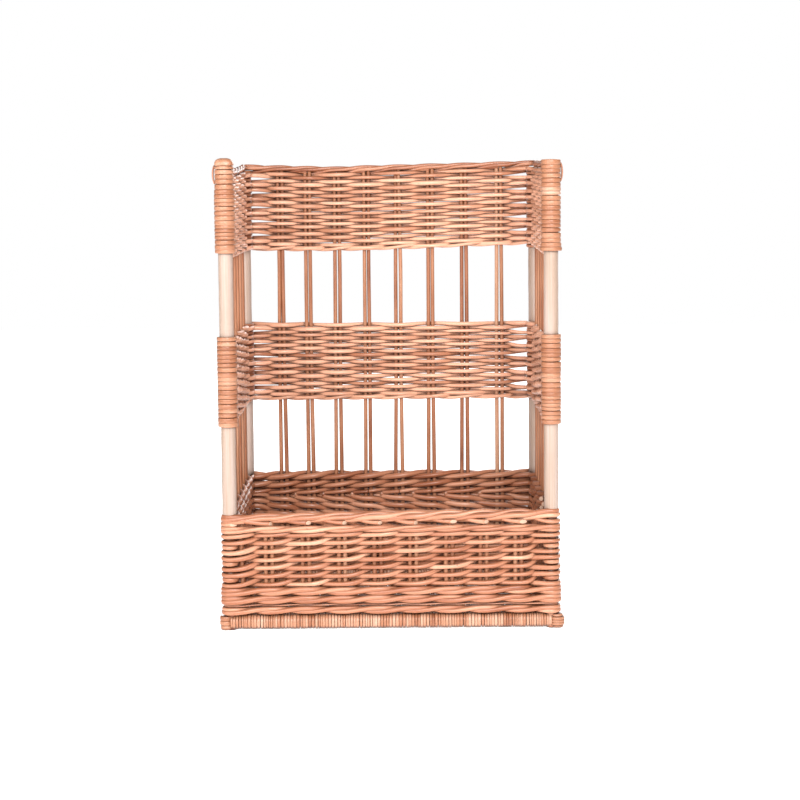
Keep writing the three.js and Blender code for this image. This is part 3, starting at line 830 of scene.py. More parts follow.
@dataclass
class FloorPanel(SubAssembly):
    """The floor: sticks from side to side, with rods worked two by two over and under them."""

    stick_stations: int = 20
    rows: int = 30
    rods_in_row: int = 2
    rod_mm: float = 2.7  # a weaver's radius
    girth: Pair = (0.88, 1.06)  # the thinnest and the thickest weaver, as shares of that
    scatter_mm: float = 0.3
    end_share: float = 0.2  # how much of its swing a weaver has at its ends
    tone_scatter: float = 0.5
    steps: int = 7
    seed: int = 41

    def build(self) -> None:
        """Makes the sticks and the weavers."""
        rng = self.rng
        sticks = sorted(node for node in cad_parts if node.startswith("floor_stick_"))
        rows = []
        for node in sticks:
            low, high = box_mm(node)
            middle = (low + high) / 2
            radius = (high[2] - low[2]) / 2
            path = np.linspace([low[0], *middle[1:]], [high[0], *middle[1:]], self.stick_stations)
            bundle = RodBundle(rng, sides=12)
            bundle.add(path, UP, radius, rng.uniform(-1, 1))
            self.shop.hand_over(bundle, node, Slot.FLOOR, [node])
            rows.append(middle[1])
        self.build_weavers(rows, middle[2], radius)

    def build_weavers(self, rows: list[float], level: float, radius: float) -> None:
        """Lays weavers across the sticks.

        A weaver's height is level + A cos(pi n) at stick n, with cosine steps between, and turns over in
        every row. The rods of one row lie side by side and go over and under together.

        Args:
            rows: where the sticks lie from front to back.
            level: the sticks' height.
            radius: the sticks' radius.
        """
        rng = self.rng
        low, high = box_mm("floor_weaver")
        places = np.array([low[1], *rows, high[1]])
        last = len(places) - 1
        count = self.rows * self.rods_in_row
        pitch = (high[0] - low[0]) / count
        fine = np.linspace(0, last, last * self.steps + 1)
        along = np.interp(fine, np.arange(len(places)), places)
        reach = radius + self.rod_mm
        tuck = np.clip(np.minimum(fine, last - fine) * 2, self.end_share, 1)
        bundle = RodBundle(rng)
        for rod in range(count):
            wave = reach * np.cos(np.pi * (fine + rod // self.rods_in_row)) * tuck
            x = low[0] + pitch * (rod + 0.5) + scatter(rng, self.scatter_mm)
            path = np.stack([np.full_like(fine, x), along, level + wave], axis=1)
            thick = self.rod_mm * rng.uniform(*self.girth)
            bundle.add(path, UP, thick, rng.normal(0, self.tone_scatter))
        self.shop.hand_over(bundle, "floor_weave", Slot.FLOOR, ["floor_weaver"])


@dataclass
class Weave:
    """What every kind of weave needs: the plan, and the bundle that takes its rods."""

    plan: Plan
    bundle: RodBundle
    steps: int = 8  # stations between two stakes
    stake_mm: float = 2.4  # a stake's radius
    tone: float = 0.0
    tone_scatter: float = 0.4
    tone_knots: int = 6  # where a long rod's tone may change


@dataclass
class Randing(Weave):
    """French randing: a rod starts at every stake and climbs half a row per stake, in and out in turn."""

    stake_mm: float = 2.7
    butt_mm: float = 2.7
    tip_mm: float = 2.4
    girth: Pair = (0.92, 1.08)  # the thinnest and the thickest rod, as shares of that
    fullness: float = 1.42  # how much taller a rod is inside, and on the three sides that are beaten close
    kick_share: float = 0.11  # how far a stroke dips in front and kicks up behind, as a share of the row
    gather_mm: float = 1.3  # how far strokes move together, two by two, where they go round a post
    post_flat: float = 0.8  # a rod's thickness where it bends round a post, as a share of its own
    edge_share: float = 0.6  # how near to the zone's edge a rod's middle may come, as a share of its radius
    hold: float = 1.4
    dive: float = 1.35
    arch_mm: float = 0.3
    level_scatter_mm: float = 0.4
    tone_scatter: float = 0.3
    start_share: float = 0.4  # how far from its first and last stake a rod is cut, as a share of the way
    first_side: float = -1.0  # -1 for a rod that starts inside the basket, 1 for one that starts outside

    def weave(self, bottom: float, top: float, rows: int) -> None:
        """Adds the rods of one woven zone, all round the basket.

        Rod j is on its first side of stake j + t for even t and on the other for odd t, at the level
        bottom + t * row / 2.

        Args:
            bottom: the zone's lowest level.
            top: its highest level.
            rows: how many front strokes each stake has.
        """
        plan, rng = self.plan, self.bundle.rng
        row = (top - bottom) / rows
        length = 2 * rows
        trim = round(self.steps * self.start_share)
        for start in range(plan.stakes):
            numbers, stakes = plan.route(start, start + length, False)
            t = stakes - start
            side = np.where(t % 2 == 0, self.first_side, -self.first_side)
            radius = np.interp(t, [0, length], [self.butt_mm, self.tip_mm]) * rng.uniform(*self.girth)
            at_post = plan.is_post[numbers]
            flat = np.where(at_post, self.post_flat, 1.0)
            reach = np.where(at_post, plan.waist_mm, self.stake_mm) + radius * flat
            level = bottom + row * (t / 2 + self.kick_share * side * self.first_side)
            level += np.where(at_post, self.gather_mm * np.where(t // 2 % 2 == 0, -1, 1), 0.0)
            level += scatter(rng, self.level_scatter_mm, len(t))
            level = np.clip(level, bottom + radius * self.edge_share, top - radius * self.edge_share)
            arch = self.arch_mm * side[:-1] * -self.first_side
            path, outward = plan.thread(
                numbers, side * reach, level, self.steps, arch=arch, hold=self.hold, dive=self.dive
            )
            keep = slice(trim, len(path) - trim)
            in_front = (stakes % plan.stakes <= plan.first_stake[Side.RIGHT]) & (side > 0)
            out = at_stations(radius * flat, self.steps)[keep]
            tall = at_stations(radius * np.where(in_front, 1.0, self.fullness), self.steps)[keep]
            tone = rng.normal(self.tone, self.tone_scatter)
            self.bundle.add(path[keep], outward[keep], out, tone, tall)


@dataclass
class LevelRanding(Weave):
    """Plain randing: level rows, each in front of one stake and behind the next, in turn from row to row."""

    radius_mm: float = 2.55
    radius_scatter: float = 0.14
    taper: Pair = (1.12, 0.88)  # a rod's thickness at its butt and its tip, as shares of that
    level_scatter_mm: float = 0.5
    gather_rows: int = 4  # so many rows move together round a post
    gather_mm: Pair = (0.9, 1.7)  # how far they move, at least and at most
    post_wrap_mm: float = 2.6  # thickness of what is wound on the posts under the weave
    tone: float = 1.2  # the bands are of paler rods than the low wall, partly their own colour and partly painted light that makes up for the weaker light inside the basket
    tone_scatter: float = 0.5
    piece_stakes: tuple[int, int] = (8, 15)  # the shortest and the longest rod, in stakes
    end_mm: float = 4.0  # how far from the wall's middle a row ends at the first and last post

    def weave(self, space: WovenZone, rows: int, ends: tuple[int, int]) -> None:
        """Adds the rows of one zone.

        Row k is in front of stake n where n + k is even. The rows' heights follow their rods' thickness.
        Where a rod ends, outside a stake, the next one starts.

        Args:
            space: the zone.
            rows: how many rows it has.
            ends: the first and the last stake.
        """
        plan, rng = self.plan, self.bundle.rng
        thick = rng.uniform(1 - self.radius_scatter, 1 + self.radius_scatter, rows)
        share = (np.cumsum(thick) - thick / 2) / np.sum(thick)
        gather = np.repeat(rng.uniform(*self.gather_mm, rows // self.gather_rows + 1), self.gather_rows)
        for row in range(rows):
            radius = self.radius_mm * thick[row]
            drop = (row % self.gather_rows - (self.gather_rows - 1) / 2) * gather[row]
            joins = [ends[0]]
            while joins[-1] < ends[1]:
                join = joins[-1] + int(rng.integers(*self.piece_stakes))
                joins.append(min(join + (join + row) % 2, ends[1]))
            for first, last in zip(joins[:-1], joins[1:]):
                numbers, stakes = plan.route(first, last, True)
                at_post = plan.is_post[numbers]
                reach = np.where(at_post, plan.post_radius + self.post_wrap_mm, self.stake_mm) + radius
                reach = np.where(np.isin(stakes, ends), self.end_mm, reach)
                side = np.where((stakes + row) % 2 == 0, 1.0, -1.0)
                level = space.level(stakes, share[row])
                level -= np.where(at_post, drop, 0.0)
                level += scatter(rng, self.level_scatter_mm, len(stakes))
                path, outward = plan.thread(numbers, side * reach, level, self.steps)
                taper = radius * np.linspace(*self.taper, len(path))
                self.bundle.add(path, outward, taper, rng.normal(self.tone, self.tone_scatter))


@dataclass
class Waling(Weave):
    """A three-rod wale: each rod goes in front of two stakes and behind one, rising across the front."""

    steps: int = 7
    stake_mm: float = 2.6
    rods: int = 3
    radius_share: float = 0.32  # of the row's height
    girth: Pair = (0.94, 1.06)  # the thinnest and the thickest rod, as shares of that
    lumps: Pair = (0.9, 1.1)  # the thinnest and the thickest place of a rod
    lump_knots: int = 9
    rise_share: float = 0.23  # how far a rod lies over or under the row's middle, of the row's height
    post_flat: float = 0.8  # a rod's thickness where it bends round a post, as a share of its own
    arch_share: float = 0.12  # how far rods swing apart between the stakes, on the three closer sides
    level_scatter_mm: float = 0.25
    tone: float = -0.2

    def weave(self, bottom: float, height: float, ends: tuple[int, int], open_ends: bool = False) -> None:
        """Adds one row of waling.

        A rod is behind every third stake, from the one where it starts. It then crosses the next stake low
        and the one after it high, so that at every stake one rod lies on top of another.

        Args:
            bottom: the row's lowest level.
            height: the row's height.
            ends: the first and the last stake.
            open_ends: whether the rods stop behind the posts of the two ends.
        """
        plan, rng = self.plan, self.bundle.rng
        for rod in range(self.rods):
            first, last = ends[0] + rod, ends[1]
            if not open_ends:
                # Each rod ends behind the stake where another one starts
                last = first + (last + self.rods - 1 - first) // self.rods * self.rods
            numbers, stakes = plan.route(first, last, open_ends)
            t = (stakes - first) % self.rods
            radius = height * self.radius_share * rng.uniform(*self.girth)
            at_post = plan.is_post[numbers]
            flat = np.where(at_post, self.post_flat, 1.0)
            reach = np.where(at_post, plan.waist_mm, self.stake_mm) + radius * flat
            out = np.where(t == 0, -reach, reach)
            if open_ends:
                out = np.where(np.isin(stakes, ends), 0.0, out)
            rise = np.choose(t, [0.0, -1.0, 1.0]) * height * self.rise_share
            level = bottom + height / 2 + rise
            level += scatter(rng, self.level_scatter_mm, len(t))
            swing = np.choose(t, [-1.0, 0.0, 1.0]) * height * self.arch_share
            swing = np.where(stakes % plan.stakes < plan.first_stake[Side.RIGHT], 0.0, swing)
            path, outward = plan.thread(numbers, out, level, self.steps, arch=swing[:-1])
            tone = drift(rng.normal(self.tone, self.tone_scatter, self.tone_knots), len(path))
            thick = radius * drift(rng.uniform(*self.lumps, self.lump_knots), len(path))
            self.bundle.add(path, outward, thick * at_stations(flat, self.steps), tone, thick)


@dataclass
class Pairing(Weave):
    """Two rods that change places between the stakes, one in front and one behind: the edge of a band."""

    rods: int = 2
    radius_mm: float = 2.3
    arch_share: float = 0.8  # how far a rod rises or dips as two pass, as a share of that
    level_scatter_mm: float = 0.3
    pale: float = 0.9  # how much paler the pair is than the low wall's rods
    end_mm: float = 2.0  # how far from the wall's middle a rod ends at the first and last post

    def weave(self, space: WovenZone, ends: tuple[int, int]) -> None:
        """Adds one row of pairing at a zone's lower edge, which stops behind the posts of its two ends.

        Rod q is in front of stake n where n - q is even. The rod that goes in passes over the one that comes
        out.

        Args:
            space: the zone.
            ends: the first and the last stake.
        """
        plan, rng = self.plan, self.bundle.rng
        numbers, stakes = plan.route(*ends, True)
        reach = np.where(plan.is_post[numbers], plan.post_radius, self.stake_mm) + self.radius_mm
        reach = np.where(np.isin(stakes, ends), self.end_mm, reach)
        for rod in range(self.rods):
            side = np.where((stakes - rod) % 2 == 0, 1.0, -1.0)
            level = space.level(stakes, 0.0) + self.radius_mm
            level += scatter(rng, self.level_scatter_mm, len(stakes))
            arch = side[:-1] * self.radius_mm * self.arch_share
            path, outward = plan.thread(numbers, side * reach, level, self.steps, arch=arch)
            tone = drift(rng.normal(self.tone, self.tone_scatter, self.tone_knots), len(path))
            self.bundle.add(path, outward, self.radius_mm, tone + self.pale)


@dataclass
class LowWall(SubAssembly):
    """The low wall on all sides: bottom wales, randing and top wale, and turns that pack the corners."""

    rows: int = 7
    wale_shares: tuple[float, ...] = (0.28, 0.1, 0.31, 0.31)  # the heights of the rows of bottom waling
    wale_start: int = 3  # the wales start behind this stake of the back
    top_wale_mm: Pair = (10.6, 2.2)  # the front's top wale, down from the top of its solid
    tuck_mm: float = 1.0  # how far the randing is beaten down onto the wale
    round_wales: int = 2  # more rows of waling on the other three sides
    packing_mm: Pair = (1.7, 2.9)  # half the depth and half the height of a packing turn
    packing_girth: Pair = (0.92, 1.04)  # the thinnest and the thickest turn, as shares of that
    packing_stations: int = 25
    packing_tone_scatter: float = 0.4
    lining_mm: Pair = (0.6, 134.0)  # where the skein on the posts starts and ends
    lining_turns: int = 26
    seed: int = 51

    def build(self) -> None:
        """Makes the wall from the bottom up."""
        plan, rng = self.plan, self.rng
        first = plan.first_stake[Side.REAR] + self.wale_start
        all_round = (first, first + plan.stakes)
        bundle = RodBundle(rng)
        waling = Waling(plan, bundle)
        low, high = heights("bottom_wale_front")
        edges = low + (high - low) * np.cumsum([0.0, *self.wale_shares])
        for bottom, top in zip(edges[:-1], edges[1:]):
            waling.weave(bottom, top - bottom, all_round)
        self.hand_over(bundle, "bottom_wale")

        bundle = RodBundle(rng)
        rand = Randing(plan, bundle)
        low, high = heights("low_weave_front")
        rand.weave(low - self.tuck_mm, high, self.rows)
        self.hand_over(bundle, "low_weave")
        row = (high - low) / self.rows
        self.pack_corners(low + row * (1 - rand.kick_share + 2 * np.arange(self.rows // 2)))

        bundle = RodBundle(rng)
        waling = Waling(plan, bundle)
        high = heights("top_wale_front")[1]
        down, up = self.top_wale_mm
        waling.weave(high - down, down - up, all_round)
        edges = np.linspace(high - up, heights("top_wale_rear")[1], self.round_wales + 1)
        for bottom, top in zip(edges[:-1], edges[1:]):
            waling.weave(bottom, top - bottom, plan.back_and_sides, open_ends=True)
        self.hand_over(bundle, "top_wale")

    def hand_over(self, bundle: RodBundle, name: str) -> None:
        """Hands over a piece that stands for its solids on all four sides."""
        self.shop.hand_over(bundle, name, Slot.WEAVER, [f"{name}_{side.value}" for side in Side])

    def pack_corners(self, levels: np.ndarray) -> None:
        """Lines each post with skein and lays turns of rod round it, in the wide gaps between the strokes.

        A turn is a ring about the post's axis that meets itself behind, inside the basket.

        Args:
            levels: the middle of each turn.
        """
        plan, rng = self.plan, self.rng
        bundle = RodBundle(rng)
        skein = Winding(self.lining_turns, thickness_mm=plan.lining_mm, proud_mm=0.0, tone=-0.9)
        for x in (-1, 1):
            for y in (-1, 1):
                axis = np.array([x, y]) * plan.corner
                foot, lined = (np.append(axis, level) for level in self.lining_mm)
                skein.add_to(bundle, foot, lined, plan.waist_mm - plan.lining_mm)
                angle = np.linspace(0, 2 * np.pi, self.packing_stations) + math.atan2(-y, -x)
                radial = np.stack([np.cos(angle), np.sin(angle), np.zeros_like(angle)], axis=1)
                for level in levels:
                    depth, height = np.array(self.packing_mm) * rng.uniform(*self.packing_girth)
                    ring = np.append(axis, level) + radial * (plan.waist_mm + depth)
                    bundle.add(ring, radial, depth, rng.normal(0, self.packing_tone_scatter), height)
        self.shop.hand_over(bundle, "corner_packing", Slot.WEAVER, [])


@dataclass
class Bands(SubAssembly):
    """The two bands of randing round the back and the sides, and turns that pack the rear corners."""

    rows: int = 22
    wrap_turns: int = 22
    seed: int = 61

    def build(self) -> None:
        """Makes the band at mid height and the one at the top."""
        plan, rng = self.plan, self.rng
        packing = RodBundle(rng)
        for band in Level:
            space = self.shop.band_zone(band)
            bundle = RodBundle(rng)
            rand = LevelRanding(plan, bundle)
            rand.weave(space, self.rows, plan.back_and_sides)
            Pairing(plan, bundle).weave(space, plan.back_and_sides)
            nodes = [f"{band.value}_band_{side.value}" for side in (Side.RIGHT, Side.REAR, Side.LEFT)]
            self.shop.hand_over(bundle, f"{band.value}_band", Slot.WEAVER, nodes)
            winding = Winding(self.wrap_turns, thickness_mm=rand.post_wrap_mm, proud_mm=0.1)
            for x in HANDS.values():
                start = np.array([x * plan.corner[0], plan.corner[1], space.bottom])
                end = start + np.array([0, 0, space.top - space.bottom])
                winding.add_to(packing, start, end, plan.post_radius)
        self.shop.hand_over(packing, "rear_corner_packing", Slot.WEAVER, [])


@dataclass
class Stakes(SubAssembly):
    """Pairs of stakes, side by side, from the rails up into the borders."""

    radius_mm: float = 2.85
    girth: Pair = (0.95, 1.03)  # the thinnest and the thickest stake, as shares of that
    taper: Pair = (1.0, 0.88)  # a stake's thickness at the ground and at the posts' height, as shares of that
    pair_levels_mm: Pair = (130.0, 440.0)
    pair_half_mm: Pair = (3.7, 2.75)  # half the distance between the two rods, at those levels
    tip_mm: float = 7.0  # from a stake's tip up to the border's top
    bye_stake_mm: float = 14.0  # a single stake this far from the front left post
    lean_mm: float = 0.8
    lean_scatter: float = 0.6
    lean_knots: int = 5
    tone_scatter: float = 0.5
    station_mm: float = 18.0
    seed: int = 71

    def build(self) -> None:
        """Makes the pairs of each wall: each rod runs straight up with a slow lean, and tapers."""
        plan, rng = self.plan, self.rng
        for side in Side:
            node = f"stakes_and_border_{side.value}"
            low, high = heights(node)
            first = plan.first_stake[side]
            numbers, _ = plan.route(first + 1, first + plan.pairs[side], False)
            bundle = RodBundle(rng, sides=10)
            for number in numbers:
                rim = np.interp(plan.stake[number], self.shop.rim_stakes, self.shop.rim_rise_mm)
                tip = high - self.tip_mm + (0.0 if side is Side.FRONT else rim)
                level = np.linspace(low, tip, round((high - low) / self.station_mm))
                for hand in (-1, 1):
                    shift = hand * np.interp(level, self.pair_levels_mm, self.pair_half_mm)
                    self.add_stake(bundle, plan.place[number], number, shift, level)
            if side is Side.FRONT:
                foot = plan.place[0] + plan.run[0] * self.bye_stake_mm
                self.add_stake(bundle, foot, 0, np.zeros_like(level), level)
            self.shop.hand_over(bundle, f"stakes_{side.value}", Slot.STAKE, [node])

    def add_stake(
        self,
        bundle: RodBundle,
        foot: np.ndarray,
        number: int,
        shift: np.ndarray,
        level: np.ndarray,
    ) -> None:
        """Adds one stake.

        Args:
            bundle: the bundle to add to.
            foot: its place in the plan.
            number: the place whose wall it stands in.
            shift: how far it stands along the wall from its foot, at each level.
            level: the heights of its stations.
        """
        plan, rng = self.plan, self.rng
        knots = np.linspace(level[0], level[-1], self.lean_knots)
        lean = self.lean_mm * np.interp(level, knots, rng.normal(0, self.lean_scatter, self.lean_knots))
        path = np.concatenate([np.tile(foot, (len(level), 1)), level[:, None]], axis=1)
        path[:, :2] += (lean + shift)[:, None] * plan.run[number]
        taper = np.interp(level, [0, plan.post_height], self.taper)
        radius = self.radius_mm * taper * rng.uniform(*self.girth)
        bundle.add(path, np.append(plan.out[number], 0.0), radius, rng.normal(0, self.tone_scatter))


@dataclass
class RolledBorder(SubAssembly):
    """A border of the stakes' own tips: every rod rises across the front, over the top and down behind."""

    lay: int = 4  # stakes in one full turn of a rod about the border
    front_mm: Pair = (12.0, 3.3)  # the low front border's height, and its rods' radius
    front_foot_mm: Pair = (0.0, 1.2)  # how far its lower edge rises, left and right
    front_head_mm: Pair = (0.4, 5.0)  # how far its upper edge rises
    top_mm: Pair = (10.5, 2.7)  # the top border's height, and its rods' radius
    top_tone: float = -0.4  # how pale its rods are, against the front's
    girth: Pair = (0.92, 1.06)  # the thinnest and the thickest rod, as shares of the radius
    taper: Pair = (1.05, 0.88)  # a rod's thickness where it starts and ends, as shares of that
    tone_scatter: float = 0.4
    tail_drop: float = 2.0  # how far a rod's end lies under the border's middle, as a share of its swing
    tail_out_mm: float = 1.5  # how far it stands out from the border's front
    tail_slant: Pair = (0.9, 1.9)  # the least and greatest slope of the knife cut at a rod's end
    tail_scatter_mm: float = 0.7
    wrap_share: float = 0.3  # how much of its swing a rod keeps where it goes round a post of the front
    end_mm: float = 2.0  # how far from the wall's middle a rod of the top border ends, at its end posts
    corner_mm: float = 7.0  # how wide a bend the top border makes over the rear posts
    corner_reach_mm: float = 5.0  # how far out from a post's axis a rod still makes that bend
    steps: int = 7
    seed: int = 81

    def build(self) -> None:
        """Makes the low front border and the top border round the back and the sides."""
        ends = (0, self.plan.first_stake[Side.RIGHT])
        top = heights("stakes_and_border_front")[1]
        height, rod = self.front_mm
        space = WovenZone(top - height, top, ends, self.front_foot_mm, self.front_head_mm)
        self.add_border("border_front", space, ends, rod, False, 0.0)
        top = heights("stakes_and_border_rear")[1]
        height, rod = self.top_mm
        rise = self.shop.rim_rise_mm
        space = WovenZone(top - height, top, self.shop.rim_stakes, rise, rise)
        self.add_border("border_top", space, self.plan.back_and_sides, rod, True, self.top_tone)

    def add_border(
        self,
        name: str,
        space: WovenZone,
        ends: tuple[int, int],
        rod_mm: float,
        open_ends: bool,
        tone: float,
    ) -> None:
        """Makes one border.

        Rod j turns about the border's axis by a quarter turn per stake: at stake j + t it is at the angle
        90 (t - 1) degrees, with 0 at the front and 90 on top. After a full turn it ends at the lower front.

        Args:
            name: the piece's name.
            space: the border's lower and upper edge.
            ends: the first and the last stake.
            rod_mm: the radius of a rod.
            open_ends: whether the rods stop at the posts of the two ends or wrap round them.
            tone: how pale its rods are.
        """
        plan, rng = self.plan, self.rng
        half = (space.top - space.bottom) / 2
        bundle = RodBundle(rng, sides=10)
        for start in range(ends[0] - self.lay, ends[1]):
            first, last = max(start, ends[0]), min(start + self.lay, ends[1])
            numbers, stakes = plan.route(first, last, open_ends)
            if len(numbers) < 2:
                continue
            angle = np.pi / 2 * (stakes - start - 1)
            foot = space.level(stakes, 0.0)
            swing = (space.level(stakes, 1.0) - foot) / 2 - rod_mm
            tail = stakes - start == self.lay
            out = np.where(tail, half - rod_mm + self.tail_out_mm, swing * np.cos(angle))
            level = space.level(stakes, 0.5) + swing * np.sin(angle)
            level = np.where(tail, foot + half - (half - rod_mm) * self.tail_drop, level)
            level += np.where(tail, scatter(rng, self.tail_scatter_mm), 0.0)
            wrap = plan.waist_mm + np.maximum(out, 0) * self.wrap_share
            out = np.where(np.isin(stakes, ends), self.end_mm if open_ends else wrap, out)
            path, outward = plan.thread(
                numbers, out, level, self.steps, inside_cut=self.corner_mm, tight=self.corner_reach_mm
            )
            radius = rod_mm * rng.uniform(*self.girth)
            thick = radius * np.interp(np.arange(len(path)), [0, len(path) - 1], self.taper)
            slant = rng.uniform(*self.tail_slant) * tail[-1]
            bundle.add(path, outward, thick, rng.normal(tone, self.tone_scatter), slant=slant)
        self.shop.hand_over(bundle, name, Slot.WEAVER, [])


@dataclass
class PostWindings(SubAssembly):
    """Skein windings that bind the side bands to the front posts, and a skein cap on the left post."""

    turns: int = 20
    swell_at: tuple[float, ...] = (0.0, 0.04, 0.09, 0.68, 0.74, 1.0)
    left_swell_mm: tuple[float, ...] = (0.4, 0.4, 0.4, 0.4, -0.6, -0.6)  # of the top winding on each side
    right_swell_mm: tuple[float, ...] = (1.2, 1.0, -0.3, -0.3, -0.3, -0.3)
    cap_mm: Pair = (4.5, 4.5)  # how far the cap reaches down and up from the post's top
    cap_inset_mm: float = 0.6  # how much slimmer it is than the winding
    cap_stations: int = 14
    cap_crowding: float = 0.6  # less than 1 to set its stations closer at the top
    cap_flat: float = 0.985  # the share of its height where the round ends in a small flat
    cap_tone: Pair = (0.2, 0.2)  # the middle and the scatter
    seed: int = 91

    def build(self) -> None:
        """Makes the four windings and the cap."""
        plan, rng = self.plan, self.rng
        swells = {
            (Level.TOP, Side.LEFT): self.left_swell_mm,
            (Level.TOP, Side.RIGHT): self.right_swell_mm,
        }
        for band in Level:
            for hand, x in HANDS.items():
                node = f"{band.value}_winding_{hand.value}"
                low, high = box_mm(node)
                start, end = (
                    np.array([x * plan.corner[0], -plan.corner[1], level]) for level in (low[2], high[2])
                )
                thickness = (high[0] - low[0]) / 2 - plan.post_radius
                winding = Winding(
                    self.turns, steps=28, thickness_mm=thickness, proud_mm=0.3, width_scatter=0.28,
                    overlap=1.0, swell_at=self.swell_at,
                    swell_mm=swells.get((band, hand), np.zeros(len(self.swell_at))),
                )
                bundle = RodBundle(rng, sides=16, squareness=4.0)
                if band is Level.TOP and hand is Side.LEFT:
                    self.add_cap(bundle, end, plan.post_radius + thickness - self.cap_inset_mm)
                    end = end - np.array([0.0, 0.0, self.cap_mm[0]])
                winding.add_to(bundle, start, end, plan.post_radius)
                self.shop.hand_over(bundle, node, Slot.SKEIN, [node])

    def add_cap(self, bundle: RodBundle, top: np.ndarray, radius: float) -> None:
        """Adds a rounded cap over a post's end.

        The cap's radius is R (1 - s^3)^(1/3), with s from 0 at its lower edge to 1 at its top.

        Args:
            bundle: the bundle to add to.
            top: the middle of the post's end.
            radius: the cap's largest radius.
        """
        share = np.linspace(0, 1, self.cap_stations) ** self.cap_crowding
        level = -self.cap_mm[0] + share * sum(self.cap_mm)
        round_off = radius * np.cbrt(1 - np.minimum(share, self.cap_flat) ** 3)
        bundle.add(top + level[:, None] * UP, FRONT, round_off, self.rng.normal(*self.cap_tone))


@dataclass
class RimEnds(SubAssembly):
    """The ends of the side rims, bent down outside the front posts."""

    bow_mm: float = 0.8
    bow_power: float = 0.6  # less than 1 for a bow that is flatter along its middle
    rod_mm: float = 1.2
    taper: tuple[float, float, float] = (0.9, 1.0, 0.7)  # its thickness at the top, halfway and at the end
    tuck_mm: float = 1.4  # how far the rod's two ends go in under the winding's outside
    inset_mm: float = 0.5  # how far short of the solid's ends it stops
    tone_scatter: float = 0.3
    stations: int = 24
    seed: int = 95

    def build(self) -> None:
        """Makes both ends: a bow that leaves the winding near its top and comes back to it lower down.

        A rod stands out by (bow + tuck) sin(pi s)^power - tuck, with s from 0 at its top to 1 at its end.
        """
        rng = self.rng
        share = np.linspace(0, 1, self.stations)
        reach = np.sin(np.pi * share) ** self.bow_power * (self.bow_mm + self.tuck_mm) - self.tuck_mm
        thick = self.rod_mm * np.interp(share, [0, 0.5, 1], self.taper)
        for hand, x in HANDS.items():
            node = f"rim_end_{hand.value}"
            low, high = box_mm(node)
            inner = low[0] if x > 0 else high[0]
            level = np.interp(share, [0, 1], [high[2] - self.inset_mm, low[2] + self.inset_mm])
            middle = np.full_like(share, (low[1] + high[1]) / 2)
            path = np.stack([inner + x * reach, middle, level], axis=1)
            bundle = RodBundle(rng, sides=10)
            bundle.add(path, FRONT, thick, scatter(rng, self.tone_scatter))
            self.shop.hand_over(bundle, node, Slot.WEAVER, [node])


@dataclass(frozen=True)
class Softbox:
    """A square soft lamp, in metres and watts."""

    name: str
    place: tuple[float, float, float]
    size: float
    power: float

    def build(self, aim: np.ndarray) -> None:
        """Makes the lamp, with its -Z pointing at a place.

        Args:
            aim: the place.
        """
        data = bpy.data.lights.new(self.name, "AREA")
        data.size = self.size
        data.energy = self.power
        ray = aim - np.array(self.place)
        back = -ray / np.linalg.norm(ray)
        right = np.cross(UP, back)
        right /= np.linalg.norm(right)
        turn = Matrix(np.stack([right, np.cross(back, right), back], axis=1).tolist()).to_4x4()
        lamp = bpy.data.objects.new(self.name, data)
        lamp.matrix_world = Matrix.Translation(self.place) @ turn
        bpy.context.scene.collection.objects.link(lamp)


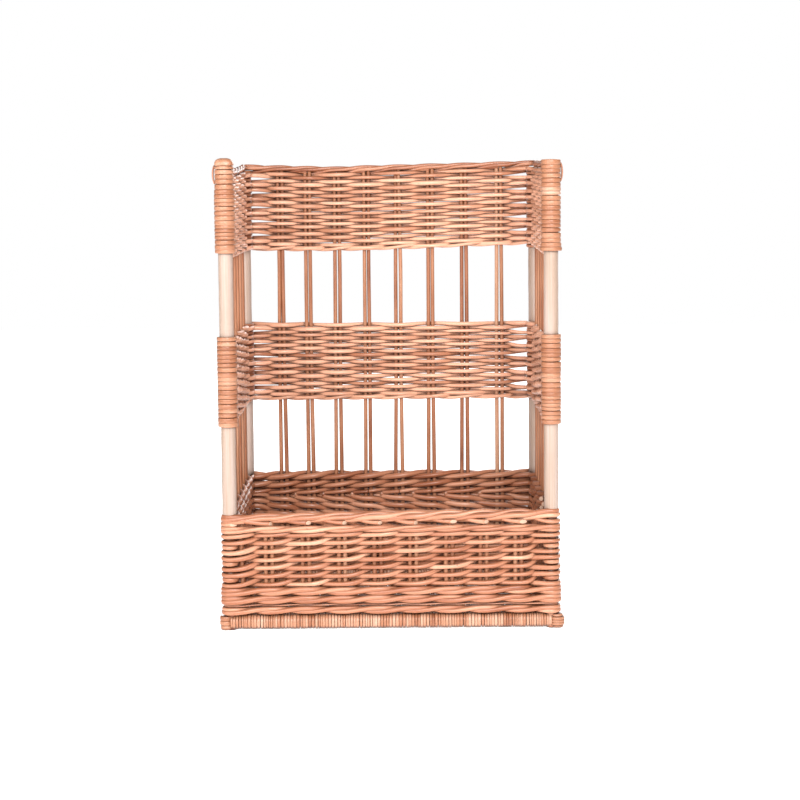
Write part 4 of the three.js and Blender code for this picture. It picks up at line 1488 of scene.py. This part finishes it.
@dataclass
class Studio:
    """A white floor, soft light and the camera."""

    place_mm: tuple[float, float, float] = (15.3, -2448.6, 537.2)  # the camera's, as are the next six lines
    pitch: float = 5.491  # in degrees, as are the next two
    yaw: float = -0.063
    roll: float = -0.488
    lens: float = 88.95  # in millimetres, as is the next
    sensor: float = 36.0
    shift_y: float = -0.045
    surround: float = 0.27  # how strongly the white surround lights the basket
    floor_glow: float = 0.78  # so that the floor, which is lit softly, shows as plain white
    floor_mm: float = 9000.0
    floor_roughness: float = 0.9
    white: str = "#ffffff"
    aim: tuple[float, float, float] = (0.0, 0.0, 0.25)  # where the lamps point, in metres
    lamps: tuple[Softbox, ...] = (
        Softbox("key_softbox", (0.4, -2.9, 1.6), 1.3, 108.0),
        Softbox("fill_softbox", (-1.5, -2.4, 1.0), 1.6, 48.0),
        Softbox("back_softbox", (0.9, 2.8, 1.5), 1.8, 42.0),
    )

    def build(self) -> None:
        """Makes the floor, the lights and the camera."""
        self.build_floor()
        self.build_light()
        self.build_camera()

    def build_camera(self) -> None:
        """Sets the camera: it looks along +Y, turned by yaw, dipped by pitch and rolled."""
        yaw, pitch, roll = (math.radians(angle) for angle in (self.yaw, self.pitch, self.roll))
        ahead = math.cos(pitch)
        forward = np.array([math.sin(yaw) * ahead, math.cos(yaw) * ahead, -math.sin(pitch)])
        level = np.array([math.cos(yaw), -math.sin(yaw), 0.0])
        upright = np.cross(level, forward)
        right = level * math.cos(roll) + upright * math.sin(roll)
        up = upright * math.cos(roll) - level * math.sin(roll)
        data = bpy.data.cameras.new("camera")
        data.lens = self.lens
        data.sensor_width = self.sensor
        data.shift_y = self.shift_y
        camera = bpy.data.objects.new("camera", data)
        turn = Matrix(np.stack([right, up, -forward], axis=1).tolist()).to_4x4()
        camera.matrix_world = Matrix.Translation([value * MM for value in self.place_mm]) @ turn
        bpy.context.scene.collection.objects.link(camera)
        bpy.context.scene.camera = camera

    def build_floor(self) -> None:
        """Lays a white floor under the posts' feet."""
        half = self.floor_mm / 2 * MM
        level = float(CAD_BOX[0][2])
        corners = [(-half, -half, level), (half, -half, level), (half, half, level), (-half, half, level)]
        mesh = bpy.data.meshes.new("studio_floor")
        mesh.from_pydata(corners, [], [(0, 1, 2, 3)])
        material = bpy.data.materials.new("white_studio_paper")
        material.use_nodes = True
        shader = material.node_tree.nodes["Principled BSDF"]
        shader.inputs["Base Color"].default_value = linear(self.white)
        shader.inputs["Roughness"].default_value = self.floor_roughness
        shader.inputs["Emission Color"].default_value = linear(self.white)
        shader.inputs["Emission Strength"].default_value = self.floor_glow
        mesh.materials.append(material)
        floor = bpy.data.objects.new("studio_floor", mesh)
        bpy.context.scene.collection.objects.link(floor)

    def build_light(self) -> None:
        """Lights the basket by a white surround, two large soft lamps in front and a weaker one behind."""
        world = bpy.data.worlds.new("white_surround")
        world.use_nodes = True
        tree = world.node_tree
        background = tree.nodes["Background"]
        background.inputs["Color"].default_value = linear(self.white)
        # The paper behind the basket is lit to plain white, and throws less light than it shows
        seen = add_node(tree, "ShaderNodeLightPath").outputs["Is Camera Ray"]
        shown = add_node(tree, "ShaderNodeMapRange", {0: seen, 3: self.surround, 4: 1.0})
        tree.links.new(shown.outputs[0], background.inputs["Strength"])
        bpy.context.scene.world = world
        bpy.context.scene.view_settings.view_transform = "Standard"
        for lamp in self.lamps:
            lamp.build(np.array(self.aim))


PARTS = (
    CornerPosts,
    BaseRails,
    FloorPanel,
    LowWall,
    Bands,
    Stakes,
    RolledBorder,
    PostWindings,
    RimEnds,
)


def main() -> None:
    """Builds the studio and every sub-assembly."""
    logging.basicConfig(level=logging.INFO)
    Studio().build()
    shop = Workshop(Plan())
    for part in PARTS:
        part(shop).build()


if __name__ == "__main__":
    main()
